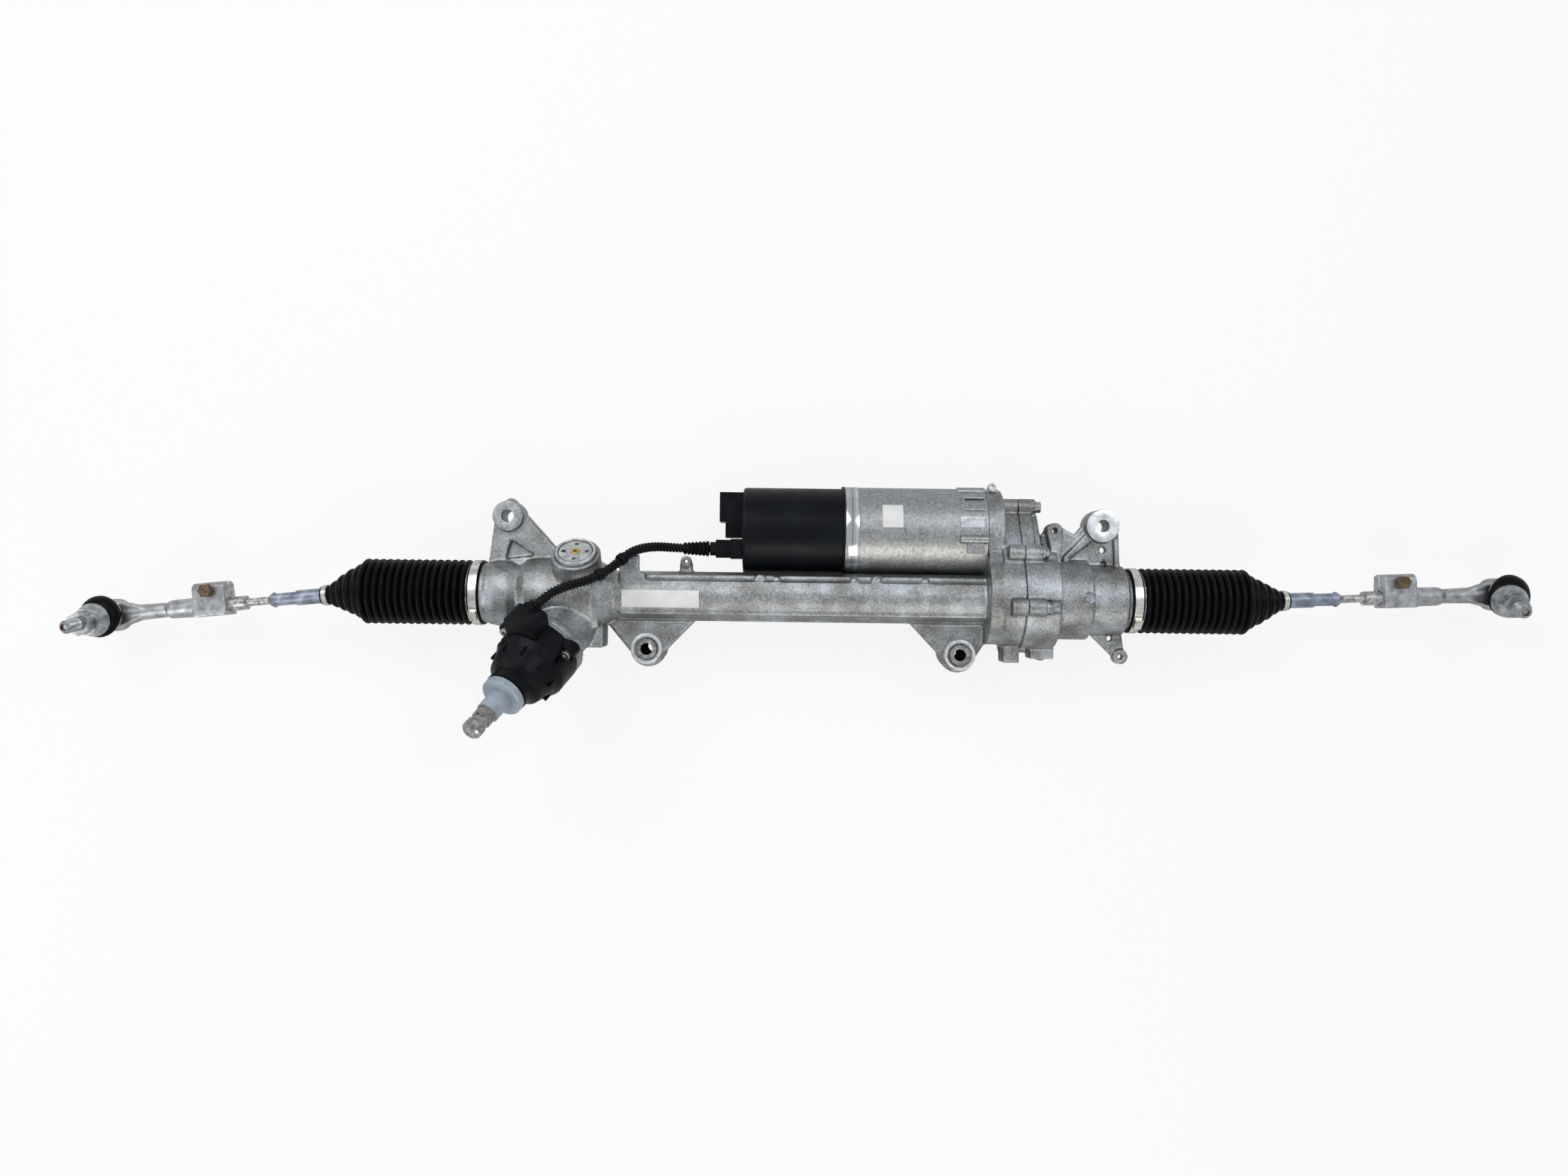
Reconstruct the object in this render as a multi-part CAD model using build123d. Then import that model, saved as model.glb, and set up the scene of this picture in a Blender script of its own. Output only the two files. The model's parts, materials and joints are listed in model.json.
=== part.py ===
from build123d import *
import math
import os

# Electric power-steering rack: a belt and ball screw drive the rack bar, and a pinion on the
# input shaft meshes with its teeth. Millimetres. X runs along the rack bar, Z is up (towards the
# heads of the mounting bolts) and Y points to the motor side. Everything is modelled about the
# rack axis, and the last step moves the origin to the middle of the underside.

# Fits and gaps
fit_gap = 0.05            # radial running clearance of a sliding or turning fit
seat_gap = 0.02           # gap between pieces that are pressed or screwed together
free_gap = 0.5            # clearance between pieces that pass each other
rubber_gap = 0.3          # clearance between a soft piece and a moving one
over = 1.0                # how far a cutting tool runs past the face it opens

# Rack bar and its end joints
rack_radius = 14.0
rack_travel = 78.0        # each way from straight ahead
rack_end_chamfer = 1.0
teeth_margin = 16.0       # toothed length past the travel, each way
socket_x = 420.0          # inboard face of each inner ball socket
bar_split_x = 60.0        # the toothed bar and the screw shaft are friction welded here

# Housing tube and ends
housing_end_x = 338.0     # outer face of each end collar
clamp_x = 330.0           # middle of each large boot clamp
tube_radius = 24.0
tube_wall = 5.0
collar_radius = 30.5      # collar under the boot's large end
collar_length = 20.0

# Pinion, yoke and input shaft
pinion_x = -227.5
yoke_tilt = 40.0          # the yoke points up from Y by this angle
pinion_lean = 24.0        # pinion axis from square to the bar
gear_module = 2.0
pinion_teeth = 8
pressure_angle = 20.0
profile_shift = 0.5
tooth_backlash = 0.12
tooth_addendum, tooth_dedendum = 0.9, 1.25     # of the rack teeth, in modules
pinion_tip_radius = 10.4
pinion_root_radius = 6.4
pinion_face = 34.0
centre_distance = 18.0    # pinion axis to rack axis

# Ball screw
screw_lead = 7.0
ball_radius = 2.5
ball_lift = 1.2           # ball centres outside the shaft's surface
ball_turns = 2.5          # turns of the screw that the balls fill
ball_spacing = 0.4        # room between neighbouring balls
track_clearance = 0.2     # radius of the ball track over the ball's
track_gap = 0.1           # room over the balls in the nut
track_run_out = 4.0       # blank left at each end of the ball track
screw_start_x = 98.0
screw_end_x = 335.0
nut_x = 216.0             # middle of the ball nut
nut_length = 46.0
nut_radius = 23.5
nut_lip = 8.0             # plain length at each end of the nut's bore
nut_flange = 2.0          # height and width of the collar that the pulley sits against

# Motor and belt
motor_y = 67.0
motor_z = -22.0
motor_radius = 46.0
belt_width = 20.0
nut_pulley_radius = 33.0
motor_pulley_radius = 12.2
belt_teeth = (54, 20)     # on the nut's pulley and on the motor's
tooth_space_radius, tooth_space_lift = 1.05, 0.25
belt_thickness = 2.4
belt_margin = 1.0         # belt edge inside the pulley edge
belt_x = 214.0            # middle of the belt

sin, cos, pi = math.sin, math.cos, math.pi
tilt, lean = math.radians(yoke_tilt), math.radians(pinion_lean)
yoke_dir = Vector(0, cos(tilt), sin(tilt))
cross_dir = Vector(0, -sin(tilt), cos(tilt))
pinion_dir = Vector(-sin(lean), 0, 0) + cross_dir * cos(lean)
pinion_run = Vector(cos(lean), 0, 0) + cross_dir * sin(lean)
pinion_foot = Vector(pinion_x, 0, 0) - yoke_dir * centre_distance
motor_foot = Vector(0, motor_y, motor_z)
X, Y, Z = Vector(1, 0, 0), Vector(0, 1, 0), Vector(0, 0, 1)

nodes = {}                # node name: its solids


def add(name, *shapes):
    """File solids under a node's name, each kept separate."""
    nodes.setdefault(name, []).extend(solid for shape in shapes for solid in shape.solids())


def frame_at(origin, z_dir, x_dir=None):
    return Plane(origin=tuple(origin), z_dir=tuple(z_dir), x_dir=None if x_dir is None else tuple(x_dir))


def rod(plane, start, end, radius, end_radius=None):
    """Cylinder or cone along a plane's normal, from one height to another."""
    middle = Pos(0, 0, (start + end) / 2)
    if end_radius is None or end_radius == radius:
        return plane.location * middle * Cylinder(radius, end - start)
    return plane.location * middle * Cone(radius, end_radius, end - start)


def pipe(plane, start, end, outer, inner):
    """Ring along a plane's normal."""
    return rod(plane, start, end, outer) - rod(plane, start - over, end + over, inner)


def turned(plane, points):
    """Solid of revolution: points are (radius, height), in order round the section."""
    outline = Polyline(*[(r, h) for r, h in points], close=True)
    section = make_face(Plane.XZ * outline)
    return plane.location * revolve(section, Axis.Z)


def slab(plane, start, end, sketch):
    """Sketch pushed along a plane's normal, from one height to another."""
    return plane.location * (Pos(0, 0, start) * extrude(Sketch() + sketch, end - start))


def block(x, y, z):
    """Box between the three (low, high) pairs."""
    size = [b - a for a, b in (x, y, z)]
    return Pos(*[(a + b) / 2 for a, b in (x, y, z)]) * Box(*size)


def round_hull(*rounds):
    """Flat outline round several (place, radius) circles, joined by their outer tangents."""
    edges = []
    for place, radius in rounds:
        edges += (Pos(*place) * Circle(radius)).edges()
    return make_hull(edges)


def around(angle, radius):
    """Point at an angle in degrees and a radius."""
    return radius * cos(math.radians(angle)), radius * sin(math.radians(angle))


bar_axis = frame_at((0, 0, 0), X, Y)
pinion_axis = frame_at(pinion_foot, pinion_dir, pinion_run)
yoke_axis = frame_at((pinion_x, 0, 0), yoke_dir, X)
motor_axis = frame_at(motor_foot, X, Y)


# Rack bar: toothed at the pinion end, a ball screw at the motor end

pitch_radius = gear_module * pinion_teeth / 2
tooth_pitch = pi * gear_module
press_angle = math.radians(pressure_angle)
rack_line = pitch_radius + profile_shift * gear_module
rack_tip = rack_line - tooth_addendum * gear_module
rack_root = rack_line + tooth_dedendum * gear_module
tooth_step_x = tooth_pitch / cos(lean)
teeth_each_side = int((rack_travel + teeth_margin) / tooth_step_x) + 1


def gap_half_width(depth):
    """Half width of a rack tooth gap at a distance from the pinion axis."""
    return tooth_pitch / 4 + tooth_backlash / 2 - (depth - rack_line) * math.tan(press_angle)


def rack_teeth_cutter():
    """The flat in front of the teeth and the gaps between them, as one prism along the pinion."""
    reach = 3 * rack_radius
    end = (teeth_each_side + 0.5) * tooth_pitch
    along = end * math.tan(lean) + 2 * rack_radius
    wide, narrow = gap_half_width(rack_tip), gap_half_width(rack_root)
    points = [(-end, rack_tip - reach), (-end, rack_tip)]
    for i in range(-teeth_each_side, teeth_each_side + 1):
        u = i * tooth_pitch
        points += [(u - wide, rack_tip), (u - narrow, rack_root),
                   (u + narrow, rack_root), (u + wide, rack_tip)]
    points += [(end, rack_tip), (end, rack_tip - reach)]
    return slab(pinion_axis, -along, along, make_face(Polyline(*points, close=True)))


def make_rack_bar():
    bar = rod(bar_axis, -socket_x, bar_split_x, rack_radius)
    bar = bar.chamfer(rack_end_chamfer, None, bar.edges().sort_by(Axis.X)[:1])
    add("toothed_rack_bar", bar - rack_teeth_cutter())


def make_screw():
    """Screw shaft: one round ball track ground along a helix, short of both ends of the blank."""
    first, last = screw_start_x + track_run_out, screw_end_x - track_run_out
    blank = rod(bar_axis, screw_start_x, screw_end_x, rack_radius)
    helix = Helix(pitch=screw_lead, height=last - first, radius=rack_radius + ball_lift)
    wheel = Plane(origin=helix @ 0, z_dir=helix % 0) * Circle(ball_radius + track_clearance)
    track = frame_at((first, 0, 0), X, Y).location * sweep(wheel, path=helix, is_frenet=True)
    add("ball_screw_shaft", blank - track, rod(bar_axis, bar_split_x, screw_start_x, rack_radius),
        rod(bar_axis, screw_end_x, socket_x, rack_radius))


def make_ball_nut():
    nut_axis = frame_at((nut_x, 0, 0), X, Y)
    half = nut_length / 2
    orbit = rack_radius + ball_lift
    wiper, track = rack_radius + free_gap, orbit + ball_radius + track_gap
    land = half - nut_lip
    stop = belt_x - belt_width / 2 - seat_gap - nut_x
    flange = nut_radius + nut_flange
    add("ball_nut", turned(nut_axis, [
        (wiper, -half), (nut_radius, -half), (nut_radius, stop - nut_flange), (flange, stop - nut_flange),
        (flange, stop), (nut_radius, stop), (nut_radius, half), (wiper, half), (wiper, land), (track, land),
        (track, -land), (wiper, -land)]))
    balls = []
    count = int(ball_turns * 2 * pi * orbit / (2 * ball_radius + ball_spacing))
    first = nut_x - ball_turns * screw_lead / 2
    for i in range(count):
        x = first + i * ball_turns * screw_lead / count
        a = 2 * pi * (x - screw_start_x - track_run_out) / screw_lead
        balls.append(Pos(x, orbit * cos(a), orbit * sin(a)) * Sphere(ball_radius))
    add("nut_balls", *balls)


def toothed_wheel(radius, teeth, bore):
    """Section of a belt pulley with round-bottomed tooth spaces."""
    spaces = PolarLocations(radius + tooth_space_lift, teeth) * Circle(tooth_space_radius)
    return Circle(radius) - spaces - Circle(bore)


def belt_outline(extra):
    """Outline of the belt round both pulleys, wider by an extra."""
    nut_circle = ((0, 0), nut_pulley_radius + extra)
    return round_hull(nut_circle, ((motor_y, motor_z), motor_pulley_radius + extra))


def make_belt_drive():
    plane = frame_at((belt_x, 0, 0), X, Y)
    half = belt_width / 2
    bore = nut_radius + seat_gap
    add("nut_pulley", slab(plane, -half, half, toothed_wheel(nut_pulley_radius, belt_teeth[0], bore)))
    shaft = frame_at(motor_foot + X * belt_x, X, Y)
    wheel = toothed_wheel(motor_pulley_radius, belt_teeth[1], rotor_shaft_radius + seat_gap)
    add("motor_pulley", slab(shaft, -half, half, wheel))
    belt = belt_outline(rubber_gap + belt_thickness) - belt_outline(rubber_gap)
    add("drive_belt", slab(plane, -half + belt_margin, half - belt_margin, belt))


# Motor rotor: shaft, laminated core and eight surface magnets

rotor_shaft_radius = 5.0
rotor_shaft_start = 18.0
rotor_shaft_end = 228.0
stack_x = (70.0, 150.0)   # the rotor core, and the stator round it
rotor_radius = 24.0
air_gap = 0.8
magnet_count, magnet_thickness, magnet_half_angle = 8, 2.9, 19.0
magnet_seat = 3.0         # rotor radius less core radius
core_hole_circle, core_hole_radius, core_holes = 12.5, 3.0, 6


def make_rotor():
    start, end = stack_x
    add("rotor_shaft", rod(motor_axis, rotor_shaft_start, rotor_shaft_end, rotor_shaft_radius))
    core = Circle(rotor_radius - magnet_seat) - Circle(rotor_shaft_radius + seat_gap)
    core -= PolarLocations(core_hole_circle, core_holes) * Circle(core_hole_radius)
    magnets = []
    arc = Circle(rotor_radius) - Circle(rotor_radius - magnet_thickness)
    for i in range(magnet_count):
        corners = [around(360 * i / magnet_count + side * magnet_half_angle, 2 * rotor_radius)
                   for side in (-1, 1)]
        wedge = make_face(Polyline((0, 0), *corners, close=True))
        magnets.append(slab(motor_axis, start, end, arc & wedge))
    add("rotor_core", slab(motor_axis, start, end, core), *magnets)


# Pinion and input shaft, with the torsion bar between them

pinion_foot_s, pinion_top_s = -30.0, 66.0
journal_radius, neck_radius = 6.0, 8.5
torsion_radius, torsion_start, torsion_end = 2.6, 50.0, 150.0
input_start, input_end = 66.5, 192.0
input_radius = 9.5
tip_chamfer = 2.0
collar_ring_radius, collar_ring_start, collar_ring_end = 21.0, 135.5, 144.0
collar_chamfer = 1.2
sleeve_radius, sleeve_end = 11.0, 165.0
magnet_ring_start, magnet_ring_end, magnet_ring_radius = 78.0, 92.0, 16.0
spline_teeth, spline_flute = 36, 0.45
spline_gap = 2.0          # plain shaft between the sleeve and the spline
clamp_groove_s, clamp_groove_half, clamp_groove_depth = 178.0, 3.0, 1.6
flat_height = 8.5         # of the locating flat over the shaft's axis


def pinion_section():
    """Involute teeth cut short at the tip, with radial flanks below the base circle."""
    base = pitch_radius * cos(press_angle)
    thickness = gear_module * (pi / 2 + 2 * profile_shift * math.tan(press_angle)) - tooth_backlash
    half_base = thickness / (2 * pitch_radius) + math.tan(press_angle) - press_angle
    steps = 6
    flank = [(pinion_root_radius, half_base)]
    for i in range(steps + 1):
        r = base + (pinion_tip_radius - base) * i / steps
        roll = math.acos(min(1, base / r))
        flank.append((r, half_base - (math.tan(roll) - roll)))
    points = []
    for tooth in range(pinion_teeth):
        middle = pi / 2 + 2 * pi * tooth / pinion_teeth
        points += [(r * cos(middle - a), r * sin(middle - a)) for r, a in flank]
        points += [(r * cos(middle + a), r * sin(middle + a)) for r, a in reversed(flank)]
    return make_face(Polyline(*points, close=True)) + Circle(pinion_root_radius)


def make_pinion():
    half = pinion_face / 2
    pinion = slab(pinion_axis, -half, half, pinion_section())
    pinion += rod(pinion_axis, pinion_foot_s, -half, journal_radius)
    pinion += rod(pinion_axis, half, pinion_top_s, neck_radius)
    pinion -= rod(pinion_axis, torsion_start, pinion_top_s + over, torsion_radius + seat_gap)
    add("pinion", pinion)
    add("torsion_bar", rod(pinion_axis, torsion_start, torsion_end, torsion_radius))


def make_input_shaft():
    shaft = rod(pinion_axis, input_start, input_end - tip_chamfer, input_radius)
    shaft += rod(pinion_axis, input_end - tip_chamfer, input_end, input_radius, input_radius - tip_chamfer)
    shaft -= rod(pinion_axis, input_start - over, torsion_end + free_gap, torsion_radius + fit_gap)
    flutes = PolarLocations(input_radius, spline_teeth) * Circle(spline_flute)
    shaft -= slab(pinion_axis, sleeve_end + spline_gap, input_end + over, flutes)
    groove = (clamp_groove_s - clamp_groove_half, clamp_groove_s + clamp_groove_half)
    shaft -= pipe(pinion_axis, *groove, 2 * input_radius, input_radius - clamp_groove_depth)
    flat = Pos(0, flat_height + input_radius / 2) * Rectangle(3 * input_radius, input_radius)
    shaft -= slab(pinion_axis, groove[1] + over, input_end + over, flat)
    add("input_shaft", shaft)
    inner = input_radius + seat_gap
    collar = pipe(pinion_axis, collar_ring_start, collar_ring_end, collar_ring_radius, inner)
    collar += pipe(pinion_axis, collar_ring_end, sleeve_end, sleeve_radius, inner)
    rims = collar.edges().filter_by(GeomType.CIRCLE).sort_by(lambda edge: edge.radius)[-2:]
    add("shaft_collar", collar.chamfer(collar_chamfer, None, rims),
        pipe(pinion_axis, magnet_ring_start, magnet_ring_end, magnet_ring_radius, inner))


# Yoke that presses the bar against the pinion

yoke_radius = 17.0
yoke_front = 3.0          # rack axis to the tips of the yoke's cradle
yoke_back = 33.0
spring_seat_depth, spring_seat_radius = 9.0, 9.0
seal_groove = (4.0, 7.0)  # sides of the yoke's seal groove, from its back
seal_groove_depth = 1.3
spring_wire, spring_turns, spring_coil_radius = 1.3, 3, 6.5
spring_end_gap = 0.1
yoke_cap_radius = 20.0
yoke_cap_top = 55.0
yoke_cap_thickness = 12.0
yoke_cap_chamfer = 0.8
key_holes, key_hole_circle, key_hole_radius, key_hole_depth = 4, 11.5, 2.2, 4.0
cap_plug_radius, cap_plug_skin = 4.0, 2.0
cap_plug_sink = 0.4       # plug face below the cap's


def make_yoke():
    cradle = rod(bar_axis, pinion_x - 2 * yoke_radius, pinion_x + 2 * yoke_radius, rack_radius + fit_gap)
    yoke = rod(yoke_axis, yoke_front, yoke_back, yoke_radius) - cradle
    yoke -= rod(yoke_axis, yoke_back - spring_seat_depth, yoke_back + over, spring_seat_radius)
    near, far = seal_groove
    groove_floor = yoke_radius - seal_groove_depth
    yoke -= pipe(yoke_axis, yoke_back - far, yoke_back - near, yoke_radius + over, groove_floor)
    add("rack_yoke", yoke)
    add("shaft_seals", pipe(yoke_axis, yoke_back - far + spring_end_gap, yoke_back - near - spring_end_gap,
                            yoke_radius, groove_floor + fit_gap))
    start, end = yoke_back - spring_seat_depth, yoke_cap_top - yoke_cap_thickness
    pitch = (end - start - 2 * spring_wire - 2 * spring_end_gap) / spring_turns
    helix = Helix(pitch=pitch, height=pitch * spring_turns, radius=spring_coil_radius)
    coil = sweep(Plane(origin=helix @ 0, z_dir=helix % 0) * Circle(spring_wire), path=helix, is_frenet=True)
    add("yoke_spring", yoke_axis.location * Pos(0, 0, start + spring_wire + spring_end_gap) * coil)
    cap = rod(yoke_axis, end, yoke_cap_top, yoke_cap_radius)
    cap = cap.chamfer(yoke_cap_chamfer, None, cap.edges().filter_by(GeomType.CIRCLE))
    holes = PolarLocations(key_hole_circle, key_holes) * Circle(key_hole_radius)
    cap -= slab(yoke_axis, yoke_cap_top - key_hole_depth, yoke_cap_top + over, holes)
    cap -= rod(yoke_axis, end + cap_plug_skin, yoke_cap_top + over, cap_plug_radius + seat_gap)
    add("yoke_cap", cap)
    add("yoke_cap_plug", rod(yoke_axis, end + cap_plug_skin, yoke_cap_top - cap_plug_sink, cap_plug_radius))


# Main casting: tube, pinion tower, yoke boss, mounting eyes and the belt housing's left half

seam_x = 216.0            # joint face between the main casting and the ball-nut cover
bell_start_x = 183.0
cast_wall = 5.0
bell_radius = 46.0
belt_room = 3.0           # room between the belt and the housing round it
seam_flange = 4.0         # how far the seam's flange stands out, and both halves' thickness there
seam_flange_left, seam_flange_right = 20.0, 13.0
cavity_start, cavity_end = 198.0, 231.0
cover_belt_end = 236.0
tower_radius = 30.0
tower_top, tower_bottom = 66.0, -38.0
tower_flange_radius, tower_flange_thickness = 37.0, 8.0
tower_bore, tower_bore_start = 17.5, -32.0
yoke_boss_radius = 24.5
yoke_boss_top = 52.0
eye_half_height = 14.0
foot_bottom = -68.0       # lower bosses and the motor share this level as the underside
foot_top = 2.0
bolt_bore = 6.2           # radius of the mounting bores
upper_left_eye = (-299.8, 77.4)
upper_right_eye = (297.9, 74.8)
lower_left_eye = (-160.1, -55.0)
lower_right_eye = (157.6, -57.4)
upper_left_radius, upper_right_radius, lower_radius = 15.5, 16.75, 14.0
sleeve_outer, sleeve_inner = 10.5, 6.1
sleeve_lift = 1.0         # sleeve end above the casting
cover_steps = ((216.0, 250.4, 49.5), (250.4, 284.0, 40.0), (284.0, 320.0, 35.0))
nut_bearing_radius = 36.0
nut_bearing_x = (193.5, 203.5)
bearing_ball_radius, bearing_balls, bearing_ball_circle = 4.0, 18, 27.7
bearing_ring_inner = 32.0
lug_radius, lug_bore = 7.5, 2.8
lower_lug = (319.1, -56.7)
small_eye = (249.8, 69.3)
cable_lug = (-120.7, 34.2)
cable_lug_radius, cable_lug_bore = 5.5, 2.2
vent_plug = (278.4, 1.8, 42.0)
body_bulges = ((31.5, -1), (33.5, 8), (33.5, 22), (29, 30), (35, 39), (36.5, 50), (36.5, 106), (24, 126))
arm_half, arm_recess = 9.0, 2.0
web_low, web_high = -16.0, -2.0
tube_ribs = (((10, 21), (8, 16)), ((-26, -14), (-14, 4)))      # each rib's reach along Y and Z
tube_rib_start = -190.0
ejector_pads = ((-45.1, 6), (-29.8, 3), (49.1, 5), (71.5, 6), (120.3, 3))   # place along X, radius
ejector_pad_y, ejector_pad_z, ejector_pad_height = 16.5, 14.0, 6.0
gate_stub, gate_stub_radius = (-298.2, 91.2), 4.5     # what is left of the gate on the upper left eye
clip_lug = (-176.0, 33.0)
web_roots = ((-206, -108), (104, 196))
web_root_y, web_root_radius, skirt_height = -14.0, 6.0, 40.0
bearing_shoulder, motor_spigot, bell_motor_end = 4.5, 1.5, 199.0


def eye(place, radius, low, high):
    return Pos(*place, (low + high) / 2) * Cylinder(radius, high - low)


def plate(low, high, sketch):
    return Pos(0, 0, low) * extrude(sketch, high - low)


belt_cavity = rubber_gap + belt_thickness + belt_room


def end_collar(side):
    """Collar under the boot's large end, on either end of the housing."""
    x = side * (housing_end_x - collar_length / 2)
    return Pos(x, 0, 0) * Rot(0, 90, 0) * Cylinder(collar_radius, collar_length)


def upper_left_arm():
    """Ribbed arm up to the left eye: a plate with a three-cornered recess on both faces."""
    arm = round_hull((upper_left_eye, upper_left_radius - 2), ((-316, 26), 4), ((-252, 38), 5))
    recess = make_face(Polyline((-297, 54), (-303, 34), (-272, 38), close=True))
    shape = plate(-arm_half, arm_half, arm) - plate(arm_recess, arm_half + over, recess)
    shape -= plate(-arm_half - over, -arm_recess, recess)
    shape += eye(gate_stub, gate_stub_radius, -arm_half, arm_half)
    return shape + eye(upper_left_eye, upper_left_radius, -eye_half_height, eye_half_height)


def lower_foot(place, low_x, high_x):
    """Flared web under the tube, down to an upright boss that takes a steel sleeve."""
    web = round_hull((place, lower_radius + 1), ((low_x, web_root_y), web_root_radius),
                     ((high_x, web_root_y), web_root_radius))
    shape = plate(web_low, web_high, web) + eye(place, lower_radius, foot_bottom, foot_top)
    skirt = Cone(lower_radius + 3, lower_radius + 5, skirt_height)
    return shape + Pos(*place, web_low - skirt_height / 2) * skirt


def tube_details():
    """Ribs and ejector pads along the tube, the cable lug and the clip's step."""
    shape = block((tube_rib_start, bell_start_x), *tube_ribs[0])
    shape += block((tube_rib_start, bell_start_x), *tube_ribs[1])
    for x, radius in ejector_pads:
        shape += Pos(x, ejector_pad_y, ejector_pad_z) * Cylinder(radius, ejector_pad_height)
    x, y = cable_lug
    shape += eye(cable_lug, cable_lug_radius, -2, 8) + block((x - 6.3, x + 6.7), (18, y - 2), (-2, 6))
    x, y = clip_lug
    shape += block((x - 10, x + 10), (14, y + 7), (17, 22))
    return shape + block((x - 10, x + 16), (10, 22), (8, 22))


def belt_bell():
    """Left half of the belt housing, with a flange at the seam and a round step on the bar's side."""
    shape = slab(bar_axis, bell_start_x, seam_x, belt_outline(belt_cavity + cast_wall))
    shape += rod(bar_axis, can_end + seat_gap, seam_x, bell_radius)
    flange = belt_outline(belt_cavity + cast_wall + seam_flange)
    shape += slab(bar_axis, seam_x - seam_flange_left, seam_x, flange)
    shape += rod(motor_axis, can_end + seat_gap, bell_motor_end, motor_radius - 1)
    return shape + block((200, seam_x), (-64, -40), (-20, 10))


def make_main_casting():
    left = -housing_end_x + collar_length
    body = rod(bar_axis, left, bell_start_x + 2, tube_radius) + end_collar(-1)
    outline = [(radius, left + reach) for radius, reach in body_bulges]
    body += turned(bar_axis, [(0, outline[0][1]), *outline, (0, outline[-1][1])])
    body += rod(pinion_axis, tower_bottom, tower_top - tower_flange_thickness, tower_radius)
    body += rod(pinion_axis, tower_top - tower_flange_thickness, tower_top, tower_flange_radius)
    body += rod(yoke_axis, 0, yoke_boss_top, yoke_boss_radius)
    body += upper_left_arm() + tube_details() + belt_bell()
    for place, roots in zip((lower_left_eye, lower_right_eye), web_roots):
        body += lower_foot(place, *roots)
    body -= slab(bar_axis, cavity_start, seam_x + over, belt_outline(belt_cavity))
    body -= rod(bar_axis, nut_bearing_x[0] - bearing_shoulder, seam_x + over, nut_bearing_radius)
    body -= rod(motor_axis, can_end - motor_spigot, seam_x + over, motor_bearing_seat + fit_gap)
    body -= rod(bar_axis, -housing_end_x - over, seam_x, tube_radius - tube_wall)
    body -= rod(pinion_axis, tower_bore_start, tower_top + over, tower_bore)
    cap_seat = yoke_cap_top - yoke_cap_thickness
    body -= rod(yoke_axis, 0, cap_seat, yoke_radius + fit_gap)
    body -= rod(yoke_axis, cap_seat, yoke_boss_top + over, yoke_cap_radius + seat_gap)
    body -= eye(upper_left_eye, bolt_bore, -2 * eye_half_height, 2 * eye_half_height)
    body -= eye(cable_lug, cable_lug_bore, -5, 10)
    for place in (lower_left_eye, lower_right_eye):
        body -= eye(place, sleeve_outer + seat_gap, foot_bottom - over, foot_top + over)
    return body


cover_web = ((236, 62), (245, 74), (258, 74), (272, 66), (284, 80), (312, 72), (316, 26), (250, 30))
cover_web_low, cover_web_high = -6.0, 4.0
cover_rib_high, cover_rib_low = 10.0, -10.0
cover_hole, cover_hole_places = 2.8, ((308.6, -38.3), (301.7, 36.7))
locating_hole, locating_hole_place = 3.2, (300.4, 50.9)
vent_boss_radius, vent_boss_height = 5.5, 8.0
vent_cap_radius, vent_cap_thickness = 4.6, 2.0
vent_stem_radius, vent_stem_height = 2.0, 1.6
nut_room, nut_room_end = 6.0, 246.0
bar_room = 4.5            # room round the bar through the cover


def make_nut_cover():
    flange = belt_outline(belt_cavity + cast_wall + seam_flange)
    cover = slab(bar_axis, seam_x, seam_x + seam_flange_right, flange)
    cover += slab(bar_axis, seam_x, cover_belt_end, belt_outline(belt_cavity + cast_wall))
    for start, end, radius in cover_steps:
        cover += rod(bar_axis, start, end, radius)
    cover += end_collar(1)
    cover += plate(cover_web_low, cover_web_high, make_face(Polyline(*cover_web, close=True)))
    web = round_hull((small_eye, lug_radius + 0.5), ((252, 40), 4))
    cover += plate(cover_web_low, eye_half_height, web)
    cover += plate(cover_web_low, cover_rib_high, round_hull((upper_right_eye, 6), ((262, 42), 2.5)))
    cover += plate(cover_rib_low, cover_rib_high, round_hull(((312, 70), 2.5), ((314, 30), 2.5)))
    cover += eye(upper_right_eye, upper_right_radius, -eye_half_height, eye_half_height)
    cover += plate(-4, 3, round_hull((lower_lug, 5), ((292, -32), 4), ((316, -28), 4)))
    cover += eye(lower_lug, lug_radius, -6, 6)
    x, y, z = vent_plug
    cover += Pos(x, y, z - vent_boss_height / 2) * Cylinder(vent_boss_radius, vent_boss_height)
    cover += Pos(241.0, -57.4, -14) * Cylinder(5, 20) + block((232, 246), (-58, -40), (-24, -4))
    cover += block((228, 252), (-60, -38), (-20, 4))
    cover -= slab(bar_axis, seam_x - over, cavity_end, belt_outline(belt_cavity))
    cover -= rod(bar_axis, seam_x, nut_room_end, nut_radius + nut_room)
    cover -= rod(bar_axis, seam_x, housing_end_x + over, rack_radius + bar_room)
    reach = 2 * eye_half_height
    for place, bore in ((upper_right_eye, bolt_bore), (small_eye, lug_bore), (lower_lug, lug_bore),
                        (cover_hole_places[0], cover_hole), (locating_hole_place, locating_hole)):
        cover -= eye(place, bore, -reach, reach)
    return cover - eye(cover_hole_places[1], cover_hole, -2, reach)


housing_bolts = ((94.4, -12.0), (46.0, 29.0), (-7.3, 50.0), (-46.5, -20.0), (18.0, -50.0), (76.0, -50.5))
boss_radius, bolt_radius, bolt_hole_gap = 8.5, 3.0, 0.1
hex_radius, hex_height, washer_radius, washer_thickness = 5.6, 6.0, 6.6, 1.2
boss_start, boss_end, bolt_depth = 200.0, 234.0, 5.0
spot_face_reach = 40.0


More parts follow.
